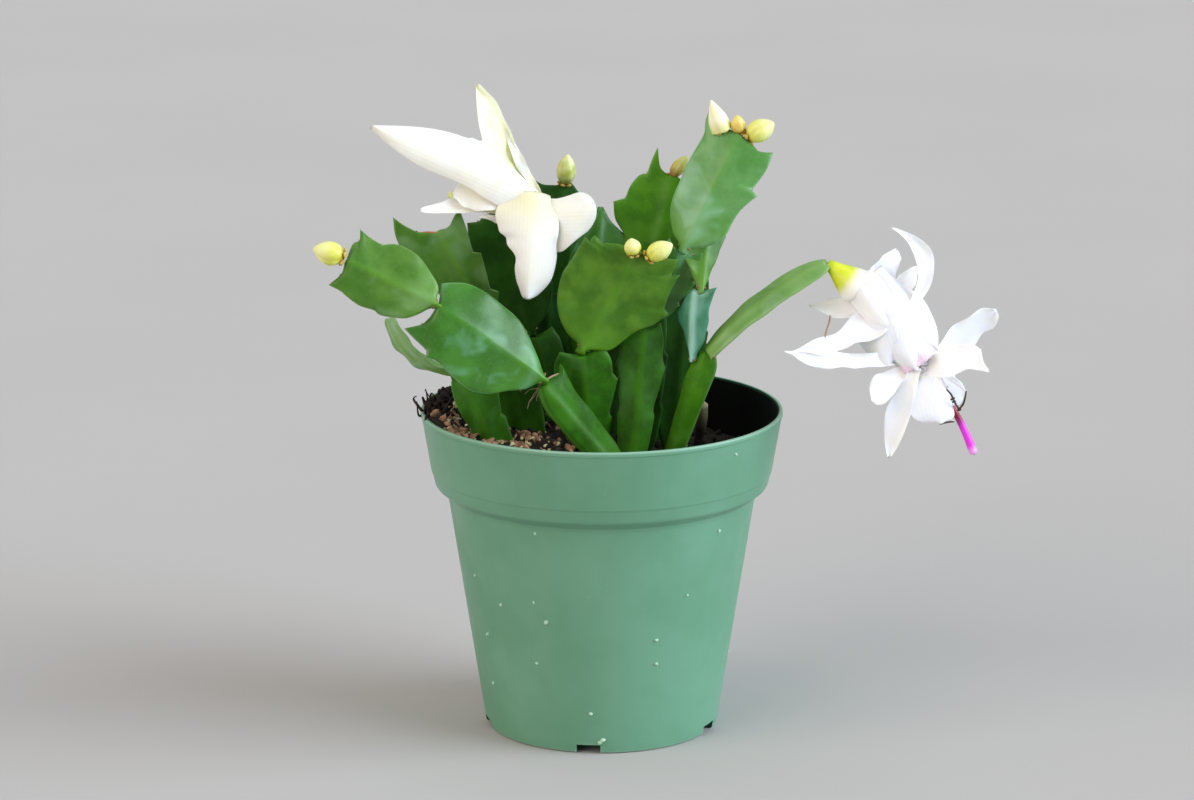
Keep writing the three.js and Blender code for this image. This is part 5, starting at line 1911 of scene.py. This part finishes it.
RIGHT_TEPALS = (
    Tepal(
        "right_flower_upper_tepal", (80.5, -17, 139.2), (86, -11, 147.2), (0.5, -0.6, 0.3), bow=0.5, cup=0.8,
        left=((0, 4.4), (0.2, 4.3), (0.57, 3.3), (0.89, 1.6), (1.02, 0.4)),
        right=((0, 4.4), (0.3, 4.2), (0.6, 3.2), (0.75, 2.4), (0.89, 2.6), (1, 1.4), (1.02, 0.4)),
    ),
    Tepal(
        "right_flower_recurved_tepal", (89, -19.8, 131), (83.6, -23, 156.6), (0.35, -0.92, 0.1), bow=0.5,
        cup=1.2, neck=1, side_bow=8.2,
        left=((0, 1.2), (0.2, 2.4), (0.45, 2.9), (0.65, 2.6), (0.82, 1.7), (0.94, 0.8), (1, 0.3)),
        right=((0, 1.2), (0.2, 2.4), (0.45, 2.9), (0.65, 2.6), (0.82, 1.7), (0.94, 0.8), (1, 0.3)),
    ),
    Tepal(
        "right_flower_left_tepal", (77.8, -16.2, 133.5), (61.2, -16, 131.5), (-0.1, -0.8, 0.65), bow=0.5,
        left=((0, 5), (0.2, 6), (0.34, 6.2), (0.5, 5.8), (0.66, 5), (0.83, 3), (0.95, 1.2), (1.02, 0.3)),
        right=((0, 2), (0.3, 1.4), (0.5, 1), (0.8, 0.7), (1.02, 0.3)),
    ),
    Tepal(
        "right_flower_low_left_tepal", (79, -22.6, 128.8), (55.5, -32, 121.6), (-0.2, -0.8, 0.55), bow=-1.5,
        ruffle=0.9,
        left=((0, 6), (0.15, 5.6), (0.3, 4.9), (0.42, 5.3), (0.55, 4.6), (0.66, 4.9), (0.78, 4), (0.9, 2.2),
              (0.97, 0.9), (1.02, 0.2)),
        right=((0, 3.2), (0.15, 3.6), (0.28, 2.4), (0.4, 1.3), (0.6, 1), (0.8, 0.8), (0.92, 0.5),
               (1.02, 0.2)),
    ),
    Tepal(
        "right_flower_low_edge_tepal", (81.5, -25, 117.8), (52.5, -33, 121.9), (-0.2, -0.9, 0.3), bow=1,
        side_bow=-1.3, ruffle=0.8, neck=4, node=False,
        left=((0, 2.4), (0.15, 2.2), (0.3, 2.5), (0.42, 2.2), (0.55, 3), (0.68, 2.9), (0.78, 2.5),
              (0.87, 1.5), (0.92, 0.6), (1, 0.2)),
        right=((0, 2), (0.3, 1.8), (0.5, 2.4), (0.66, 3.2), (0.78, 2.7), (0.87, 1.4), (0.92, 0.6), (1, 0.2)),
    ),
    Tepal(
        "right_flower_inner_right_tepal", (97.2, -19.6, 118.6), (115.2, -15, 130.2), (0.5, -0.8, -0.3),
        bow=-1,
        left=((0, 1.8), (0.1, 2), (0.2, 2.9), (0.4, 3.9), (0.66, 4.1), (0.83, 3.6), (0.95, 2), (1.02, 0.5)),
        right=((0, 6), (0.15, 8), (0.35, 8.6), (0.55, 7.2), (0.72, 5.6), (0.85, 5.4), (0.93, 4.2), (1, 2),
               (1.02, 0.6)),
    ),
    Tepal(
        "right_flower_inner_spike_tepal", (97, -23.5, 116.2), (112.5, -31, 115.3), (0.1, -0.9, 0.4), bow=1,
        left=((0, 2), (0.3, 5.5), (0.6, 7), (0.78, 6, TIP), (0.87, 2.6), (0.95, 1), (1, 0.3)),
        right=((0, 4), (0.2, 4.6), (0.36, 4.2), (0.5, 2.4), (0.62, 0.7), (0.8, 0.5), (1, 0.3)),
    ),
    Tepal(
        "right_flower_inner_left_tepal", (88, -24.5, 113), (79.1, -30, 105.8), (-0.3, -0.9, 0.2), bow=0.5,
        left=((0, 1.4), (0.24, 1.8), (0.49, 2.4), (0.81, 2.8), (0.95, 1.9), (1.01, 0.7)),
        right=((0, 2.4), (0.3, 4.3), (0.5, 5.3), (0.7, 4.9), (0.85, 3.5), (0.97, 1.4), (1.01, 0.7)),
    ),
    Tepal(
        "right_flower_inner_low_tepal", (91, -25.5, 113.4), (84.2, -28, 89), (-0.2, -0.95, 0.2), bow=1,
        left=((0, 1.8), (0.2, 2.3), (0.44, 2.6), (0.69, 2.3), (0.9, 1.2), (1, 0.3)),
        right=((0, 1.8), (0.17, 2.8), (0.36, 4.2), (0.54, 4.5), (0.77, 3.1), (0.91, 1.6), (1, 0.3)),
    ),
    Tepal(
        "right_flower_inner_middle_tepal", (95, -24, 113.8), (99.3, -27, 98.4), (0.2, -0.95, 0.1), bow=2,
        cup=-1.2,
        left=((0, 2.6), (0.38, 3.6), (0.66, 4.5), (0.88, 4.6), (0.96, 3.4), (0.97, 1)),
        right=((0, 3.5), (0.3, 6.8), (0.55, 8.4), (0.72, 8), (0.85, 6.2), (0.93, 3.4), (0.97, 1)),
    ),
    extra_tepal("web", (76.5, -21, 136), (83.5, -26, 115.5), (-0.45, -0.85, 0.2), 12.5, 1.2, -1.4, 3),
    extra_tepal("right_clasp", (82.5, -18.5, 141), (98.5, -21, 119.5), (0.4, -0.85, 0.25), 11, 1.4, -1.4, 3),
    extra_tepal("front_clasp", (79, -22, 139), (92, -27, 114.5), (0, -0.95, 0.3), 12, 1.2, -1.6, 2),
    Tepal(
        "right_flower_hook_tepal", (96.5, -18, 113.5), (106.1, -18.5, 104.9), (0, -0.95, 0.3), bow=0.4,
        cup=0.7, ruffle=0.3, node=False,
        left=((0, 1.4), (0.38, 2.1), (0.7, 2.7), (0.88, 2.2), (0.98, 1), (1.02, 0.5)),
        right=((0, 2.5), (0.4, 5), (0.69, 5.3), (0.9, 4.4), (1.04, 2.6), (1.03, 0.8)),
    ),
    extra_tepal("side", (76, -20, 133), (71.5, -20, 120.5), (-0.2, -0.9, 0.2), 5, 0.4, 1, 2),
    extra_tepal("back", (84, -17, 134), (92, -14, 143), (0.4, -0.8, 0.2), 5.5, 0.8, 1, 2),
    extra_tepal("inner_back", (95, -18, 115), (104, -12, 106), (0.3, -0.9, 0.1), 7, 0.5, 1, 2),
)


# Profiles in shares of the radius: each tube is closed inside by its own throat.
SHORT_TUBE: Outline = (
    (0, 0), (0.01, 0.5), (0.3, 0.62), (0.7, 0.8), (1, 1, TIP), (0.98, 0.86), (0.6, 0.6), (0.4, 0),
)
LONG_TUBE: Outline = (
    (-0.06, 0), (-0.04, 0.5), (0.05, 0.86), (0.3, 0.96), (0.6, 0.94), (0.85, 0.94), (1, 1.04, TIP),
    (0.98, 0.9), (0.7, 0.6), (0.5, 0),
)
OVARY_CONE: Outline = (
    (0, 0), (0.01, 0.24), (0.3, 0.44), (0.7, 0.76), (1, 0.98), (1.16, 0.98), (1.3, 0.74), (1.38, 0.3),
    (1.4, 0),
)


@dataclass
class LeftFlower:
    """The cream flower on the left, seen from its side: a short tube, swept-back tepals, a hanging tongue."""

    tube_base: Vec = (-29.4, 0.6, 158.4)
    tube_mouth: Vec = (-21, -15, 161)
    mouth_radius: float = 5.5

    def build(self) -> None:
        """Places the tube and each tepal."""
        kind = Tissue.CREAM
        profile = widened(SHORT_TUBE, self.mouth_radius)
        tube = Turned(self.tube_base, self.tube_mouth, profile, flutes=6, depth=0.12, segments=48)
        tube.shape().piece("left_flower_tube_wall", TISSUES[kind], kind.value, ["left_flower_tube"])
        for tepal in LEFT_TEPALS:
            tepal.build(kind)


@dataclass
class RightFlower:
    """The white flower on the right, hung from the arching segment, with its style and stamens below it."""

    ovary_base: Vec = (65.9, -19, 145)
    ovary_end: Vec = (73.2, -19, 138.9)
    ovary_radius: float = 5.4
    tube_base: Vec = (74.9, -19, 140)
    tube_mouth: Vec = (92.5, -21, 115.8)
    mouth_radius: float = 6.2
    style_path: tuple[Vec, ...] = (
        (90.2, -19.6, 117.2), (97.8, -17, 108.5), (103.2, -17.6, 101.2), (106.8, -19.5, 94.6),
        (109.4, -20, 88.4),
    )
    style_radii: Span = (0.5, 1.3)
    stamens: int = 14
    stamen_reach: float = 13.0
    filament_radii: Span = (0.16, 0.11)
    anther_size: Vec = (0.75, 0.36, 0.36)
    # How far inside the mouth a filament's foot is, how far off the tube's line its foot, middle and tip are,
    # and how far its tip sags.
    foot_depth: float = 3.0
    foot_off: float = 2.2
    middle_off: float = 3.2
    tip_off: Span = (2.5, 5.0)
    sag: float = 1.2
    # Three stamens hook out beyond the others, beside the style: a filament's pale part, then its dried part.
    hooks: tuple[tuple[tuple[Vec, ...], tuple[Vec, ...]], ...] = (
        (
            ((95, -20, 114), (98, -26, 112.2), (100.4, -28, 109.4)),
            (
                (100.4, -28, 109.4), (101.8, -28, 107.9), (102.6, -27.5, 106.1), (103.6, -26, 104),
                (104.7, -24, 102.4),
            ),
        ),
        (
            ((96, -20, 114), (102, -20.6, 110.5), (106.8, -21, 107.2)),
            ((106.8, -21, 107.2), (106.5, -21.2, 105.2), (106, -21.4, 103.4), (104.8, -21.6, 101.8)),
        ),
        (
            ((93, -22, 112), (96, -24.5, 104), (103.2, -24.4, 98.8)),
            ((103.2, -24.4, 98.8), (101.2, -24.8, 98.7), (99.4, -25, 98.5)),
        ),
    )
    hook_radii: Span = (0.16, 0.2)
    hook_dried_radii: Span = (0.22, 0.34)
    hook_anther_size: Vec = (0.8, 0.45, 0.45)
    # One outer scale has dried to a tan thread that hangs below the left tepal.
    dry_thread: tuple[Vec, ...] = (
        (66.7, -19.9, 129.6), (66.4, -21.4, 128.2), (65.6, -24, 126.5), (64.9, -27.2, 124.9),
    )
    thread_radii: Span = (0.24, 0.3)

    def build(self) -> None:
        """Places the ovary, the tube, each tepal, the style and the stamens."""
        kind = Tissue.WHITE
        ovary = Turned(self.ovary_base, self.ovary_end, widened(OVARY_CONE, self.ovary_radius), segments=40)
        ovary.shape().piece("right_flower_ovary_skin", OVARY_SKIN, "bud_yellow", ["right_flower_ovary"])
        profile = widened(LONG_TUBE, self.mouth_radius)
        tube = Turned(self.tube_base, self.tube_mouth, profile, flutes=6, depth=0.1, segments=48)
        tube.shape().piece("right_flower_tube_wall", BLUSHED_MOUTH, kind.value, ["right_flower_tube"])
        for tepal in RIGHT_TEPALS:
            tepal.build(kind)
        thread = Rod(self.dry_thread, *self.thread_radii, 8, 8).shape()
        thread.piece("right_flower_dry_thread", DRY_SKIN, "stamen")
        style = Rod(self.style_path, *self.style_radii, 16, 12).shape()
        style.piece("right_flower_style_stalk", STYLE, "style_magenta", ["right_flower_style"])
        self.place_stamens()

    def place_stamens(self) -> None:
        """Places the filaments that spray out of the mouth, with an anther on each."""
        rng = np.random.default_rng(41)
        mouth, base = np.array(self.tube_mouth), np.array(self.tube_base)
        down = unit(mouth - base)
        first, second = crossways(down, (0, 1, 0))
        threads, anthers = [], []
        for i in range(self.stamens):
            turn = 2 * math.pi * i / self.stamens + rng.uniform(-0.2, 0.2)
            away = first * math.cos(turn) + second * math.sin(turn)
            reach = self.stamen_reach * rng.uniform(0.75, 1.15)
            foot = mouth - down * self.foot_depth + away * self.foot_off
            middle = mouth + down * reach * 0.5 + away * self.middle_off
            tip = mouth + down * reach + away * rng.uniform(*self.tip_off) + np.array([0, 0, -self.sag])
            threads.append(Rod((tuple(foot), tuple(middle), tuple(tip)), *self.filament_radii, 6, 6).shape())
            anthers.append(pebble(tip, self.anther_size, rng, 0.15))
        for pale, dried in self.hooks:
            threads.append(Rod(pale, *self.hook_radii, 6, 6).shape())
            anthers.append(Rod(dried, *self.hook_dried_radii, 8, 6).shape())
            anthers.append(pebble(np.array(dried[-1]), self.hook_anther_size, rng, 0.2))
        filaments = Shape.joined(threads)
        filaments.piece("right_flower_filaments", FILAMENT, "stamen", ["right_flower_stamens"])
        Shape.joined(anthers).piece("right_flower_anthers", ANTHER, "stamen")


@dataclass
class Debris:
    """What lies about: dried roots on the left rim, a dead stub on the right and grit on the pot's wall."""

    root_bundle: Vec = (-50.4, -3, 96.2)
    roots: int = 22
    root_radii: Span = (0.5, 0.15)
    root_lengths: Span = (3.0, 9.0)
    # Clods of mix cling to the roots, along a way up from the bundle.
    clods: int = 60
    clod_way: Vec = (5.2, 0, 6.4)
    clod_size: Vec = (1.5, 1.1, 1.0)
    # How far the roots' feet, the clods and the stub's knobs stray to each side.
    root_spread: Vec = (1.4, 3.5, 0.6)
    clod_spread: Vec = (1.2, 2.6, 0.8)
    knob_spread: Vec = (0.7, 0.5, 0.9)
    knobs: int = 9
    knob_drop: float = 1.4
    knob_size: Vec = (1.6, 1.1, 1.3)
    stub_radii: Span = (1.0, 2.2)
    stub_path: tuple[Vec, ...] = ((28, 8, 79), (29.2, 8.4, 85), (30, 7.6, 91), (29.8, 8, 96))
    # Where grit sticks to the wall: the angle from the front towards +X in degrees, and the height.
    grit: tuple[Span, ...] = (
        (-45, 44.5), (-28, 47.4), (-23, 41.7), (-61, 51), (-57, 33.1), (-59, 17.1), (-29, 27.9), (-25, 69.5),
        (49, 67), (36, 48.8), (23, 36), (24, 28.3), (-5, 13.1), (-1, 3.8), (47, 92), (0.5, 4.6), (120, 60),
        (160, 30), (-130, 75), (95, 20), (-150, 44), (-100, 61),
    )
    grit_sizes: Span = (0.5, 0.85)
    # The pot's outside, as heights and the radii at them.
    wall_heights: tuple[float, ...] = (0, 70.2, 76, 95)
    wall_radii: tuple[float, ...] = (35, 45.9, 50, 53.7)

    def build(self) -> None:
        """Places the roots, the stub and the grit."""
        rng = np.random.default_rng(51)
        bundle = np.array(self.root_bundle)
        strands = []
        for _ in range(self.roots):
            start = bundle + rng.normal(size=3) * self.root_spread
            lean = np.array([rng.uniform(-0.4, 0.8), rng.uniform(-0.7, 0.7), rng.uniform(0.4, 1.2)])
            end = start + unit(lean) * rng.uniform(*self.root_lengths)
            bend = (start + end) / 2 + rng.normal(size=3) * 1.5
            strands.append(Rod((tuple(start), tuple(bend), tuple(end)), *self.root_radii, 6, 5).shape())
        clods = []
        for _ in range(self.clods):
            rise = rng.uniform(0, 1)
            spot = bundle + np.array(self.clod_way) * rise + rng.normal(size=3) * self.clod_spread
            clods.append(pebble(spot, np.array(self.clod_size) * rng.uniform(0.6, 1.1), rng, 0.4))
        Shape.joined([*strands, *clods]).piece("dried_roots", DARK_ROOT, "potting_mix")
        stub = [Rod(self.stub_path, *self.stub_radii, 12, 6).shape()]
        for _ in range(self.knobs):
            spot = np.array(self.stub_path[-1]) + rng.normal(size=3) * self.knob_spread
            stub.append(pebble(spot - [0, 0, self.knob_drop], self.knob_size, rng, 0.3))
            stub[-1].marks[Mark.ALONG] = np.full(len(stub[-1].points), 0.95)
        Shape.joined(stub).piece("dead_stub", STUB, "potting_mix")
        self.place_grit(rng)

    def place_grit(self, rng: Dice) -> None:
        """Sticks mineral grit to the outside of the wall.

        Args:
            rng: The source of the grains' sizes and turns.
        """
        grains = []
        for angle, height in self.grit:
            radius = float(np.interp(height, self.wall_heights, self.wall_radii))
            turn = math.radians(angle)
            spot = np.array([radius * math.sin(turn), -radius * math.cos(turn), height])
            size = rng.uniform(*self.grit_sizes)
            grains.append(pebble(spot, (size, size * 0.8, size * 0.7), rng))
        Shape.joined(grains).piece("wall_grit", GRIT, "potting_mix")


@dataclass
class Studio:
    """The pale card floor, three soft lights and the camera at the photograph's angle."""

    look_at: Vec = (-1.4, 0, 99.3)
    distance: float = 1250.0
    elevation: float = 13.8
    lens: float = 126.3
    # Each light: its name, the way towards it, how wide it looks in degrees, its strength and its colour.
    lights: tuple[tuple[str, Vec, float, float, str], ...] = (
        ("window_right", (0.92, -0.27, 0.38), 50, 4.0, "e2f1ff"),
        ("window_left", (-0.72, -0.58, 0.4), 55, 1.8, "fff0e4"),
        ("sky_above", (-0.1, 0.15, 0.96), 60, 0.65, "fbfbff"),
    )
    ambient: str = "f2f4f6"
    ambient_strength: float = 0.32

    def build(self) -> None:
        """Makes the floor, the lights, the surround and the camera."""
        self.floor()
        for name, way, width, strength, colour in self.lights:
            light = bpy.data.lights.new(name, "SUN")
            light.angle, light.energy = math.radians(width), strength
            light.color = linear(colour)[:3]
            lamp = bpy.data.objects.new(name, light)
            lamp.location = unit(way)
            self.aim(lamp, (0, 0, 0))
            bpy.context.scene.collection.objects.link(lamp)
        world = bpy.data.worlds.new("soft_surround")
        world.use_nodes = True
        world.node_tree.nodes.clear()
        sky = {"Color": linear(self.ambient), "Strength": self.ambient_strength}
        glow = add(world.node_tree, "ShaderNodeBackground", sky)
        add(world.node_tree, "ShaderNodeOutputWorld", {"Surface": glow.outputs[0]})
        bpy.context.scene.world = world
        bpy.context.scene.view_settings.view_transform = "Standard"
        self.camera()

    def aim(self, thing: bpy.types.Object, spot: Vec) -> None:
        """Turns a light or camera to look at a spot."""
        from_spot = thing.location - type(thing.location)(np.array(spot) * MM)
        thing.rotation_euler = from_spot.to_track_quat("Z", "Y").to_euler()

    def floor(self) -> None:
        """Makes the card as one sweep that curves up behind."""
        width, front, back, radius, height = 5000.0, -2500.0, 5000.0, 900.0, 2600.0
        turns = np.linspace(0, math.pi / 2, 25)
        bend = [(back + radius * math.sin(t), radius - radius * math.cos(t)) for t in turns]
        line = [(front, 0.0), *bend, (back + radius, height)]
        points = [(x, y, z) for y, z in line for x in (-width, width)]
        faces = [(2 * i, 2 * i + 1, 2 * i + 3, 2 * i + 2) for i in range(len(line) - 1)]
        card = bpy.data.objects.new("card_floor", Shape(np.array(points), faces).mesh("card_floor", [FLOOR]))
        bpy.context.scene.collection.objects.link(card)
        card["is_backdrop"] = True

    def camera(self) -> None:
        """Sets the camera at the photograph's angle and distance."""
        lens = bpy.data.cameras.new("camera")
        lens.lens, lens.sensor_width, lens.clip_end = self.lens, 36.0, 20.0
        made = bpy.data.objects.new("camera", lens)
        rise = math.radians(self.elevation)
        away = np.array([0, -math.cos(rise), math.sin(rise)]) * self.distance
        made.location = (np.array(self.look_at) + away) * MM
        self.aim(made, self.look_at)
        bpy.context.scene.collection.objects.link(made)
        bpy.context.scene.camera = made


def write_sizes() -> None:
    """Works out the frame's box and the finished object's box as lists of corners, and keeps them nowhere."""
    boxes = {"cad": CAD_BOX, "visual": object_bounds()}
    {name: [list(corner) for corner in box] for name, box in boxes.items()}


def main() -> None:
    """Builds the pot, its mix, the plant and the studio, in that order."""
    logging.basicConfig(level=logging.INFO, format="%(name)s: %(message)s")
    parts = (NurseryPot(), PottingMix(), Stems(), Buds(), LeftFlower(), RightFlower(), Debris(), Studio())
    for part in parts:
        LOG.info("building %s", type(part).__name__)
        part.build()
    write_sizes()


if __name__ == "__main__":
    main()
